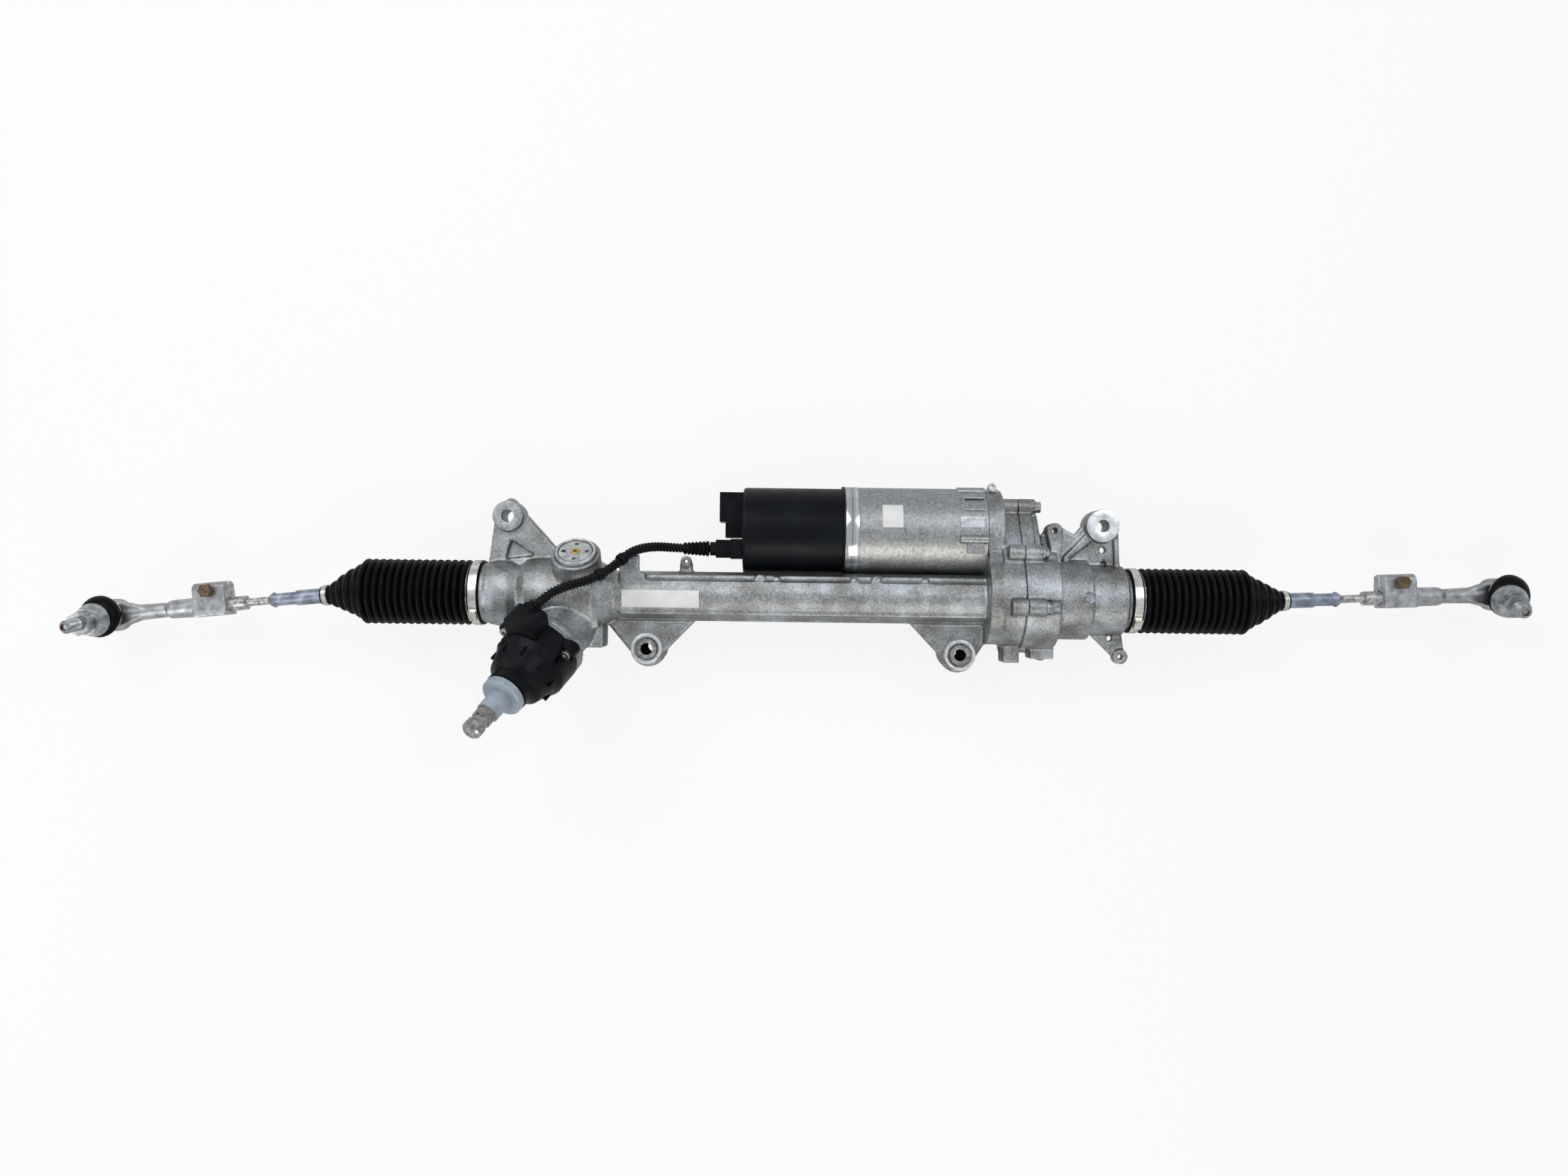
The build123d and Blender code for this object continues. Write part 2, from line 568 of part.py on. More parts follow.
def make_housing():
    """Both halves of the housing with the bolt bosses over their seam, and the bolts."""
    casting, cover = make_main_casting(), make_nut_cover()
    bolts, holes = [], []
    for place in housing_bolts:
        axis = frame_at((0, *place), X, Y)
        casting += rod(axis, boss_start, seam_x, boss_radius)
        cover += rod(axis, seam_x, boss_end, boss_radius)
        cover -= rod(axis, boss_end, boss_end + spot_face_reach, washer_radius + free_gap)
        holes.append(rod(axis, boss_start + bolt_depth, boss_end + over, bolt_radius + bolt_hole_gap))
        head = slab(axis, boss_end, boss_end + hex_height, RegularPolygon(hex_radius, 6))
        head += rod(axis, boss_end, boss_end + washer_thickness, washer_radius)
        shank_start = boss_start + bolt_depth + bolt_hole_gap
        bolts.append(head + rod(axis, shank_start, boss_end + over / 2, bolt_radius))
    cavity = slab(bar_axis, cavity_start, cavity_end, belt_outline(belt_cavity))
    add("main_casting", casting - [cavity, *holes])
    add("ball_nut_cover", cover - [cavity, *holes])
    add("housing_screws", *bolts)


guide_start, guide_length, stop_length, stop_gap = 10.0, 24.0, 8.0, 0.4


def make_housing_fittings():
    for place in (lower_left_eye, lower_right_eye):
        upright = frame_at((*place, 0), Z)
        add("mount_sleeves", pipe(upright, foot_bottom, foot_top + sleeve_lift, sleeve_outer, sleeve_inner))
    bore = tube_radius - tube_wall - seat_gap
    left = -housing_end_x
    add("bar_guides", pipe(bar_axis, left + guide_start, left + guide_start + guide_length, bore,
                           rack_radius + fit_gap))
    add("bar_guides", pipe(bar_axis, left, left + stop_length, bore, rack_radius + stop_gap),
        pipe(bar_axis, housing_end_x - stop_length, housing_end_x, rack_radius + bar_room - seat_gap,
             rack_radius + stop_gap))
    start, end = nut_bearing_x
    balls = [Pos((start + end) / 2, *around(360 * i / bearing_balls, bearing_ball_circle))
             * Sphere(bearing_ball_radius) for i in range(bearing_balls)]
    outer_ring = pipe(bar_axis, start, end, nut_bearing_radius - seat_gap, bearing_ring_inner)
    add("nut_bearing", outer_ring, *balls)
    for start, end, radius in ((-31, -21, journal_radius), (24, 36, neck_radius)):
        add("pinion_bearings", pipe(pinion_axis, start, end, tower_bore - seat_gap, radius + fit_gap))
    add("shaft_seals", pipe(pinion_axis, 52, 58, tower_bore - seat_gap, neck_radius + fit_gap))
    x, y, z = vent_plug
    cap = Pos(x, y, z + vent_cap_thickness / 2) * Cylinder(vent_cap_radius, vent_cap_thickness)
    cap += Pos(x, y, z + vent_cap_thickness) * Cylinder(vent_stem_radius, vent_stem_height)
    add("housing_screws", cap)


# Motor, its electronics cover and connectors

ecu_start, ecu_end = -64.0, 39.0
band_end, band_groove = 54.0, 0.6
can_end = 181.5
can_wall, can_lid, end_plate = 3.0, 5.0, 8.0
cover_radius, cover_wall, cover_base, cover_fillet = 44.5, 2.5, 3.0, 3.0
motor_lugs, motor_lug_radius, motor_lug_length = (20, 100, 200), 4.5, 28.0
motor_bearing_seat, motor_bearing_reach = 17.5, 4.0
rear_bearing_radius = 12.0
stator_yoke, stator_teeth, tooth_width, tooth_tip = 4.5, 12, 4.4, 3.0
coil_width, coil_slot, coil_depth, coil_overhang = 8.6, 4.6, 7.5, 6.0
board_x, board_thickness = 14.0, 2.0
chips, chip_size = ((40, -40), (60, -44), (82, -30), (48, -10), (70, -6)), (4, 12, 10)
capacitors, capacitor_length, capacitor_radius = ((50, -45), (66, -50), (82, -44)), 18.0, 6.0
angle_chip_radius, angle_chip_gap = 4.0, 0.8


def make_motor_can():
    inner = motor_radius - can_wall
    can = pipe(motor_axis, ecu_end, can_end, motor_radius, inner)
    can += pipe(motor_axis, can_end - can_lid, can_end, motor_radius, motor_bearing_seat)
    can -= pipe(motor_axis, band_end - over, band_end, motor_radius + over, motor_radius - band_groove)
    for angle in motor_lugs:
        y, z = around(angle, motor_radius - 1.5)
        place = frame_at(motor_foot + Vector(0, y, z), X, Y)
        can += rod(place, can_end - motor_lug_length, can_end, motor_lug_radius)
    lid = pipe(motor_axis, ecu_end, ecu_end + end_plate, inner - seat_gap, rear_bearing_radius)
    add("motor_can", can, lid)
    shaft = rotor_shaft_radius + fit_gap
    rear_start, rear_end = ecu_end + over, ecu_end + end_plate - over
    rear = pipe(motor_axis, rear_start, rear_end, rear_bearing_radius - seat_gap, shaft)
    front_end = can_end + motor_bearing_reach
    front = pipe(motor_axis, can_end - can_lid, front_end, motor_bearing_seat - fit_gap, shaft)
    add("motor_bearings", rear, front)


def make_stator():
    """Laminated ring with twelve teeth, and a coil round each tooth."""
    start, end = stack_x
    outer, bore = motor_radius - can_wall - seat_gap, rotor_radius + air_gap
    core = Circle(outer) - Circle(outer - stator_yoke)
    shoe = (Circle(bore + tooth_tip) - Circle(bore)) & (Pos(bore, 0) * Rectangle(12, 10))
    length = outer - bore - 2 * tooth_tip
    tooth = Pos((outer + bore) / 2, 0) * Rectangle(length, tooth_width)
    ring = Rectangle(coil_width, end - start + 2 * coil_overhang) - Rectangle(coil_slot, end - start + 0.6)
    for i in range(stator_teeth):
        angle = 360 * i / stator_teeth
        core += Rot(0, 0, angle) * (tooth + shoe)
        outward = Vector(0, *around(angle, 1))
        seat = motor_foot + outward * (bore + 4.5) + X * ((start + end) / 2)
        side = frame_at(seat, outward, X.cross(outward))
        add("stator_coils", side.location * extrude(ring, coil_depth))
    add("stator_core", slab(motor_axis, start, end, core))


def make_electronics():
    shell = rod(motor_axis, ecu_start, ecu_end, cover_radius)
    shell = shell.fillet(cover_fillet, shell.edges().sort_by(Axis.X)[:1])
    shell -= rod(motor_axis, ecu_start + cover_base, ecu_end + over, cover_radius - cover_wall)
    add("electronics_cover", shell)
    face = board_x + board_thickness
    height, width, length = chip_size
    add("control_board", rod(motor_axis, board_x, face, cover_radius - cover_wall - seat_gap),
        *[block((face, face + height), (y, y + width), (z, z + length)) for y, z in chips],
        *[rod(frame_at((0, y, z), X), board_x - capacitor_length, board_x - seat_gap, capacitor_radius)
          for y, z in capacitors],
        rod(motor_axis, face, rotor_shaft_start - angle_chip_gap, angle_chip_radius))


power_socket = ((-88.0, -64.0), (75.5, 105.5), (-34.0, -4.0))      # reach along X, Y and Z
bus_socket = ((-82.0, -64.0), (59.5, 74.5), (-30.0, -6.0))
signal_socket = ((-76.0, -64.0), (37.5, 57.5), (-14.0, 6.0))
signal_plug = ((-91.0, -76.0), (38.5, 56.5), (-11.0, 5.0))
shroud_wall, shroud_floor = 2.0, 4.0
blade_inset, blade_width, blade_thickness, blade_tip = 6.0, 6.0, 2.0, 8.0
plug_neck_radius, plug_neck_length = 7.0, 6.0


def shroud(reach):
    """Open-mouthed socket of a connector."""
    (x0, x1), (y0, y1), (z0, z1) = reach
    mouth = block((x0 - over, x1 - shroud_floor), (y0 + shroud_wall, y1 - shroud_wall),
                  (z0 + shroud_wall, z1 - shroud_wall))
    return block(*reach) - mouth


def make_connectors():
    (x0, x1), (y0, y1), (z0, z1) = power_socket
    power = shroud(power_socket)
    middle = (z0 + z1) / 2
    for low in (y0 + blade_inset, y1 - blade_inset - blade_width):
        power += block((x0 + blade_tip, x1 - shroud_floor + over), (low, low + blade_width),
                       (middle - blade_thickness / 2, middle + blade_thickness / 2))
    add("motor_connectors", power, shroud(bus_socket), block(*signal_socket))
    end = Vector(*cable_points[-1])
    neck = rod(frame_at(end, X), 0, plug_neck_length + 2, plug_neck_radius)
    add("cable_fittings", block(*signal_plug) + neck)


# Torque sensor housing around the input shaft, and its cable to the motor

sensor_start, sensor_end = 70.0, 135.0
sensor_flange_thickness = 8.0
sensor_radius = 37.5
sensor_neck_radius = 21.5
sensor_wall = 3.0
sensor_shell = ((37.5, 96), (33.5, 103), (28.0, 120), (21.5, 124))     # outside, as (radius, height)
sensor_hollow = ((34.5, 93), (25, 116), (13, 120))
ear_angles, ear_distance, ear_radius, ear_height = (27, 147, 267), 39.5, 8.0, 12.0
ear_root_radius = 20.0
sensor_ribs, sensor_rib_reach, sensor_rib_width, sensor_rib_end = 9, 34.0, 2.2, 112.0
outlet_place, outlet_size, outlet_corner, outlet_end = (-6.0, 36.0), (34, 36), 5.0, 94.0
sensor_screw_radius, sensor_hole_gap = 3.0, 0.1
sensor_head_radius, sensor_head_height, sensor_key_radius, sensor_key_depth = 5.0, 4.0, 2.4, 2.0
sensor_pocket_radius, sensor_pocket_reach = 5.6, 20.0
sensor_board_s, sensor_board_bore = (72.0, 74.0), 20.0
input_seal_s, input_seal_radius = (124.0, 131.0), 13.0
cable_radius = 4.5
cable_points = [(-258.0, -11.0, 70.0), (-249.0, -3.0, 72.5), (-238.5, 4.0, 68.0), (-227.0, 9.0, 61.0),
                (-214.0, 12.5, 54.0), (-202.0, 18.5, 48.0), (-190.5, 26.0, 42.0), (-181.5, 35.0, 36.0),
                (-172.0, 43.0, 29.0), (-161.0, 47.0, 21.0), (-149.0, 48.5, 13.0), (-136.0, 48.0, 5.0),
                (-122.5, 47.5, -1.0), (-108.5, 47.5, -3.0), (-97.0, 47.5, -3.0)]
gland_radius, gland_length = 7.5, 16.0


def gland_frame():
    """Frame at the cable's first point, looking back into the sensor housing."""
    return frame_at(cable_points[0], Vector(*cable_points[0]) - Vector(*cable_points[1]))


def make_sensor():
    ears = [around(angle, ear_distance) for angle in ear_angles]
    flange = Circle(tower_flange_radius)
    for ear in ears:
        flange += round_hull(((0, 0), ear_root_radius), (ear, ear_radius))
    add("sensor_flange", slab(pinion_axis, tower_top + seat_gap, sensor_start, flange)
        - rod(pinion_axis, tower_top - over, sensor_start + over, tower_bore))
    foot = sensor_start + seat_gap
    body = slab(pinion_axis, foot, sensor_start + sensor_flange_thickness, flange)
    profile = [(0, sensor_start + over), (sensor_radius, sensor_start + over), *sensor_shell]
    body += turned(pinion_axis, profile + [(sensor_neck_radius, sensor_end), (0, sensor_end)])
    for ear in ears:
        body += slab(pinion_axis, foot, sensor_start + ear_height, Pos(*ear) * Circle(ear_radius))
    rib = Pos(sensor_rib_reach / 2, 0) * Rectangle(sensor_rib_reach, sensor_rib_width)
    for i in range(sensor_ribs):
        body += slab(pinion_axis, sensor_start + 2, sensor_rib_end, Rot(0, 0, 360 * i / sensor_ribs) * rib)
    outlet = Pos(*outlet_place) * RectangleRounded(*outlet_size, outlet_corner)
    body += slab(pinion_axis, sensor_start + over, outlet_end, outlet)
    body -= rod(gland_frame(), -over, gland_length + seat_gap, gland_radius + seat_gap)
    inner = sensor_radius - sensor_wall
    body -= turned(pinion_axis, [(0, sensor_start - over), (inner, sensor_start - over), *sensor_hollow,
                                 (input_seal_radius, sensor_end + over), (0, sensor_end + over)])
    top = sensor_start + ear_height
    for ear in ears:
        place = Pos(*ear)
        hole = place * Circle(sensor_screw_radius + sensor_hole_gap)
        body -= slab(pinion_axis, sensor_start - over, top + over, hole)
        body -= slab(pinion_axis, top, top + sensor_pocket_reach, place * Circle(sensor_pocket_radius))
        head = slab(pinion_axis, top, top + sensor_head_height, place * Circle(sensor_head_radius))
        head -= slab(pinion_axis, top + sensor_key_depth, top + sensor_head_height + over,
                     place * RegularPolygon(sensor_key_radius, 6))
        shank = slab(pinion_axis, foot + seat_gap, top + over / 2, place * Circle(sensor_screw_radius))
        add("housing_screws", head + shank)
    add("sensor_housing", body)
    board = Circle(inner - seat_gap) - Circle(sensor_board_bore)
    add("sensor_board", slab(pinion_axis, *sensor_board_s, board))
    seal_radius = input_seal_radius - seat_gap
    add("shaft_seals", pipe(pinion_axis, *input_seal_s, seal_radius, input_radius + fit_gap))


def cable_path():
    """Straight runs joined by arcs as large as the shorter run beside each corner allows."""
    points = [Vector(*p) for p in cable_points]
    radii = []
    for before, here, after in zip(points, points[1:], points[2:]):
        into, out = here - before, after - here
        turn = math.radians(into.get_angle(out))
        radii.append(0.45 * min(into.length, out.length) / math.tan(turn / 2))
    return FilletPolyline(*points, radius=radii), radii


def make_cable():
    path, radii = cable_path()
    start = Plane(origin=path @ 0, z_dir=path % 0)
    tube = sweep(start * Circle(cable_radius), path=path)
    add("sensor_cable", tube)
    length, section = path.length, pi * cable_radius ** 2
    print("cable length", round(length, 1), "volume ratio", round(tube.volume / (length * section), 4))
    print("cable radii", [round(r) for r in radii])
    add("cable_fittings", rod(gland_frame(), 0.0, gland_length, gland_radius))


# Boots, clamps, tie rods and outer ball joints, one set on each side

droop = 6.0               # tie rods below level, degrees
yaw = {-1: -5.85, 1: 2.3}
side_name = {-1: "left", 1: "right"}
inner_ball_x = 440.0
inner_ball_radius = 13.0
socket_radius, socket_lip, socket_mouth, socket_flats = 19.0, 9.0, 2.6, 32.0
seat_wall = 3.0
inner_seat_reach = 6.5    # how far the inner seat goes past the ball's middle
rod_length = 285.0        # inner ball centre to outer ball centre
rod_radius = 7.75
rod_root, rod_root_radius = (9.0, 34.0), 6.6
wrench_flats, wrench_width = (79.0, 103.5), 12.6
waist_start, waist_end, waist_radius = 104.0, 110.0, 4.0
thread_radius = 6.0
rod_collar, rod_collar_radius = (134.0, 146.0), 7.25
thread_end = 184.0
clamp_block = (152.0, 187.0)
clamp_outline = ((-10.5, -10.5), (10.5, -10.5), (22, -9), (24, -5), (24, 6), (20, 10.5), (-10.5, 10.5))
clamp_slit, pinch_offset, pinch_radius, pinch_gap = 2.0, 15.5, 4.0, 0.1
pinch_hex, pinch_ends, pinch_seats = 7.2, (-19.0, 17.0), (-11.5, 10.52)
shank_radii = (9.5, 7.0, 8.5)
shank_root, eye_reach, eye_thickness = 16.0, 26.0, 7.5
outer_ball_radius = 11.0
outer_seat_wall, outer_seat_reach = 2.5, 3.5
eye_radius = 17.0
eye_low, eye_high = -14.0, 9.0
eye_cap_radius, eye_cap_height = 12.0, 2.5
stud_lean = {-1: (-2.0, -8.0), 1: (-14.0, -14.0)}   # stud lean towards +X and +Y, degrees
stud_neck, stud_taper, stud_top, stud_tip = 5.5, 8.5, 73.0, 75.0
stud_key_radius = 3.4
washer_cone = ((8.6, 28.5), (17, 28.5), (17, 31), (13.5, 40.5), (7.6, 40.5))
nut_flange_radius, nut_hex_radius, stud_nut_s = 13.2, 12.2, (40.6, 55.0)
boot_radius = 33.0
boot_wall = 1.6
fold_depth, cone_fold_depth = 4.5, 3.0
boot_folds, cone_folds = 15, 4
boot_cylinder_x = 446.0
boot_end_x = 487.0
boot_neck_radius = 9.6
boot_neck_length = 9.0
large_clamp_width, small_clamp_width, clamp_band = 8.0, 5.0, 0.9
clamp_ear, clamp_ear_turn, clamp_ear_sink = (7.6, 12.0, 4.2), 40.0, 0.2
dust_rings = ((0.0, 18.4), (0.12, 20.2), (0.35, 21.0), (0.55, 20.0), (0.8, 14.5), (0.92, 10.9), (1.0, 10.9))
dust_wall = 1.8
dust_top = 27.8           # along the stud


def rod_direction(side):
    b, g = math.radians(droop), math.radians(yaw[side])
    return Vector(side * cos(b) * cos(g), cos(b) * sin(g), -sin(b))


def rod_frame(side, distance=0.0):
    """Frame on a tie rod: its normal runs outboard, and its x axis is the horizontal across it."""
    d = rod_direction(side)
    across = Z.cross(d).normalized()
    return frame_at(Vector(side * inner_ball_x, 0, 0) + d * distance, d, across)


def outer_frame(side):
    """Frame at the outer ball centre, its normal square to the tie rod and nearly upright."""
    f = rod_frame(side, rod_length)
    return frame_at(f.origin, f.z_dir.cross(f.x_dir), f.z_dir)


def stud_frame(side):
    lean_x, lean_y = (math.radians(v) for v in stud_lean[side])
    return frame_at(outer_frame(side).origin, Vector(math.tan(lean_x), math.tan(lean_y), 1).normalized())


def blended_rings(first, last, low, high, rings, wall):
    """Ruled skin through circles that turn from one frame's axis to the other's."""
    faces = []
    for share, radius in rings:
        z_dir = (first.z_dir * (1 - share) + last.z_dir * share).normalized()
        near, away = first.origin + first.z_dir * low, last.origin + last.z_dir * high
        centre = near * (1 - share) + away * share
        faces.append(frame_at(centre, z_dir, first.x_dir) * Circle(radius - wall))
    return loft(faces, ruled=True)


def make_boot(side):
    """Bellows: real folds over the cylinder, growing smaller down the cone to the rod."""
    start = housing_end_x + over
    fold = (boot_cylinder_x - start) / boot_folds
    neck = collar_radius + seat_gap + boot_wall
    outer = [(neck, clamp_x - 6), (neck, start)]
    for i in range(boot_folds):
        x = start + i * fold
        outer += [(boot_radius - fold_depth, x + 0.25 * fold), (boot_radius, x + 0.75 * fold)]
    outer.append((boot_radius, boot_cylinder_x))
    points = outer + [(r - boot_wall, x) for r, x in reversed(outer)]
    axis = frame_at((0, 0, 0), (side, 0, 0), Y)
    f = rod_frame(side, boot_end_x - boot_neck_length / 2 - inner_ball_x)
    start_x_dir = f.x_dir.cross(axis.z_dir).cross(axis.z_dir)
    first = frame_at(Vector(side * boot_cylinder_x, 0, 0), axis.z_dir, start_x_dir)
    rings = [(0.0, boot_radius)]
    for i in range(cone_folds):
        share = (i + 0.5) / cone_folds
        r = boot_radius + (boot_neck_radius + 3.5 - boot_radius) * share
        rings += [(share - 0.06, r - cone_fold_depth), (share + 0.06, r)]
    rings.append((1.0, boot_neck_radius))
    cone = blended_rings(first, f, 0, 0, rings, 0) - blended_rings(first, f, -0.01, 0.01, rings, boot_wall)
    cone += pipe(f, 0, boot_neck_length, boot_neck_radius, boot_neck_radius - boot_wall)
    add("boot_" + side_name[side], turned(axis, points) + cone)


def make_clamps(side):
    axis = frame_at((0, 0, 0), (side, 0, 0), Y)
    half, inner = large_clamp_width / 2, collar_radius + boot_wall + seat_gap
    outer = inner + clamp_band - seat_gap
    clamp = pipe(axis, clamp_x - half, clamp_x + half, outer, inner)
    ear = Pos(side * clamp_x, 0, outer - clamp_ear_sink + clamp_ear[2] / 2) * Box(*clamp_ear)
    add("large_boot_clamps", clamp + Rot(clamp_ear_turn, 0, 0) * ear)
    f = rod_frame(side, boot_end_x - inner_ball_x)
    half, inner = small_clamp_width / 2, boot_neck_radius + seat_gap
    add("small_clamp_" + side_name[side], pipe(f, -half, half, inner + clamp_band - seat_gap, inner))


def make_tie_rod(side):
    """Ball socket on the bar, its plastic seat, and the rod with its ball, flats, waist and thread."""
    name = side_name[side]
    axis = frame_at((0, 0, 0), (side, 0, 0), Y)
    at_ball = Pos(side * inner_ball_x, 0, 0)
    hollow = inner_ball_radius + seat_wall
    f = rod_frame(side)
    socket = rod(axis, socket_x, inner_ball_x + socket_lip, socket_radius)
    socket -= at_ball * Sphere(hollow + seat_gap)
    socket -= rod(axis, inner_ball_x, inner_ball_x + socket_lip + over, hollow - socket_mouth)
    square = Rectangle(3 * socket_radius, 3 * socket_radius)
    flats = square - Rectangle(socket_flats, 3 * socket_radius)
    add("inner_sockets", socket - slab(axis, socket_x + 2, socket_x + 10, flats))
    liner = at_ball * Sphere(hollow) - at_ball * Sphere(inner_ball_radius + fit_gap)
    mouth = rod(axis, inner_ball_x + inner_seat_reach, inner_ball_x + 2 * hollow, 2 * hollow)
    add("inner_seat_" + name, liner - mouth)
    tie = at_ball * Sphere(inner_ball_radius) + rod(f, *rod_root, rod_root_radius, rod_radius)
    tie += rod(f, rod_root[1], waist_start, rod_radius)
    tie += rod(f, waist_start, waist_end, rod_radius, waist_radius)
    tie += rod(f, waist_end, rod_collar[0], waist_radius)
    tie += rod(f, *rod_collar, rod_collar_radius) + rod(f, rod_collar[1], thread_end, thread_radius)
    square = Rectangle(6 * rod_radius, 6 * rod_radius)
    add("tie_rod_" + name, tie - slab(f, *wrench_flats, square - Rectangle(wrench_width, 6 * rod_radius)))


def make_rod_end(side):
    """Forged clamp block, shank and ball eye, with the pinch bolt."""
    name, f, g = side_name[side], rod_frame(side), outer_frame(side)
    start, end = clamp_block
    sign = 1 if f.x_dir.Y > 0 else -1
    root, neck, swell = shank_radii
    body = slab(f, start, end, make_face(Polyline(*[(sign * x, y) for x, y in clamp_outline], close=True)))
    body += rod(f, end - 2, end + shank_root, root, neck)
    body += rod(f, end + shank_root, rod_length - eye_reach, neck, swell)
    body += rod(f, rod_length - eye_reach, rod_length, swell)
    shoulder = round_hull(((0, 0), eye_radius - 1), ((-2 * eye_radius, 0), neck))
    body += slab(g, -eye_thickness, eye_thickness, shoulder)
    body += rod(g, eye_low, eye_high, eye_radius)
    body += rod(g, eye_low - eye_cap_height, eye_low, eye_cap_radius, eye_radius)
    body -= rod(f, start - over, thread_end + 10, thread_radius + fit_gap)
    slit = Pos(sign * 18, 0) * Rectangle(36, clamp_slit)
    body -= slab(f, start - over, end - 6, slit)
    bolt_at = f.origin + f.z_dir * ((start + end) / 2) + f.x_dir * (sign * pinch_offset)
    up = f.z_dir.cross(f.x_dir)
    bolt_frame = frame_at(bolt_at, up if up.Z > 0 else -up, f.z_dir)
    body -= rod(bolt_frame, -30, 30, pinch_radius + pinch_gap)
    seat, centre = outer_ball_radius + outer_seat_wall, Pos(*g.origin)
    body -= centre * Sphere(seat + seat_gap)
    body -= rod(g, 0, eye_high + over, seat - 1.9, seat - 0.2)
    add("rod_end_" + name, body)
    (low, high), (low_seat, high_seat) = pinch_ends, pinch_seats
    bolt = rod(bolt_frame, low + over, high_seat, pinch_radius)
    bolt += slab(bolt_frame, high_seat, high, RegularPolygon(pinch_hex, 6))
    bolt += slab(bolt_frame, low, low_seat, RegularPolygon(pinch_hex, 6))
    add("pinch_bolt_" + name, bolt)
    liner = centre * Sphere(seat) - centre * Sphere(outer_ball_radius + fit_gap)
    add("outer_seat_" + name, liner - rod(g, outer_seat_reach, 3 * seat, 60))


def make_stud(side):
    """Ball stud with its washer cone and nut, and the rubber boot over the ball."""
    name, g, s = side_name[side], outer_frame(side), stud_frame(side)
    stud = Pos(*g.origin) * Sphere(outer_ball_radius) + rod(s, 6, 15, stud_neck)
    stud += rod(s, 15, 28, stud_neck, stud_taper) + rod(s, 28, 40, stud_taper, thread_radius + 1)
    stud += rod(s, 40, stud_top, thread_radius)
    stud += rod(s, stud_top, stud_tip, thread_radius, thread_radius - 1.5)
    stud -= slab(s, stud_top - 2, stud_tip + over, RegularPolygon(stud_key_radius, 6))
    add("ball_stud_" + name, stud)
    start, end = stud_nut_s
    nut = slab(s, start + 2.4, end, RegularPolygon(nut_hex_radius, 6))
    nut += rod(s, start, start + 3, nut_flange_radius)
    nut -= rod(s, start - over, end + over, thread_radius + seat_gap)
    add("stud_nut_" + name, turned(s, washer_cone), nut)
    dust = blended_rings(g, s, eye_high + seat_gap, dust_top, dust_rings, 0)
    dust -= blended_rings(g, s, eye_high - over, dust_top + over, dust_rings, dust_wall)
    add("dust_boot_" + name, dust)


label_thickness, label_gap = 0.5, 0.3
tube_label = (-183.0, -106.0)
motor_label = (76.0, 96.5)


def make_labels():
    """Bare film: one on the tube's flank and one on the motor."""
    inner = tube_radius + label_gap
    strip = Circle(inner + label_thickness) - Circle(inner)
    wedge = make_face(Polyline((0, 0), (12, 60), (-35, 60), close=True))
    add("labels", slab(bar_axis, *tube_label, strip & wedge))
    inner = motor_radius + label_gap
    strip = Circle(inner + label_thickness) - Circle(inner)
    wedge = make_face(Polyline((0, 0), (80, 120), (8, 120), close=True))
    add("labels", slab(motor_axis, *motor_label, strip & wedge))


def build():
    make_rack_bar()
    make_screw()
    make_ball_nut()
    make_belt_drive()
    make_rotor()
    make_pinion()
    make_input_shaft()
    make_yoke()
    make_housing()
    make_housing_fittings()
    make_motor_can()
    make_stator()
    make_electronics()
    make_connectors()
    make_sensor()
    make_cable()
    for side in (-1, 1):
        make_boot(side)
        make_clamps(side)
        make_tie_rod(side)
        make_rod_end(side)
        make_stud(side)
    make_labels()


build()
box = Compound([solid for solids in nodes.values() for solid in solids]).bounding_box()
origin = Vector((box.min.X + box.max.X) / 2, (box.min.Y + box.max.Y) / 2, box.min.Z)
os.makedirs("parts", exist_ok=True)
for name, solids in nodes.items():
    shape = Pos(*(-origin)) * (solids[0] if len(solids) == 1 else Compound(solids))
    export_step(shape, f"parts/{name}.step")
print(len(nodes), "nodes; origin", origin)
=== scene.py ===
import bmesh
import bpy
import json
import math
from mathutils import Matrix, Vector


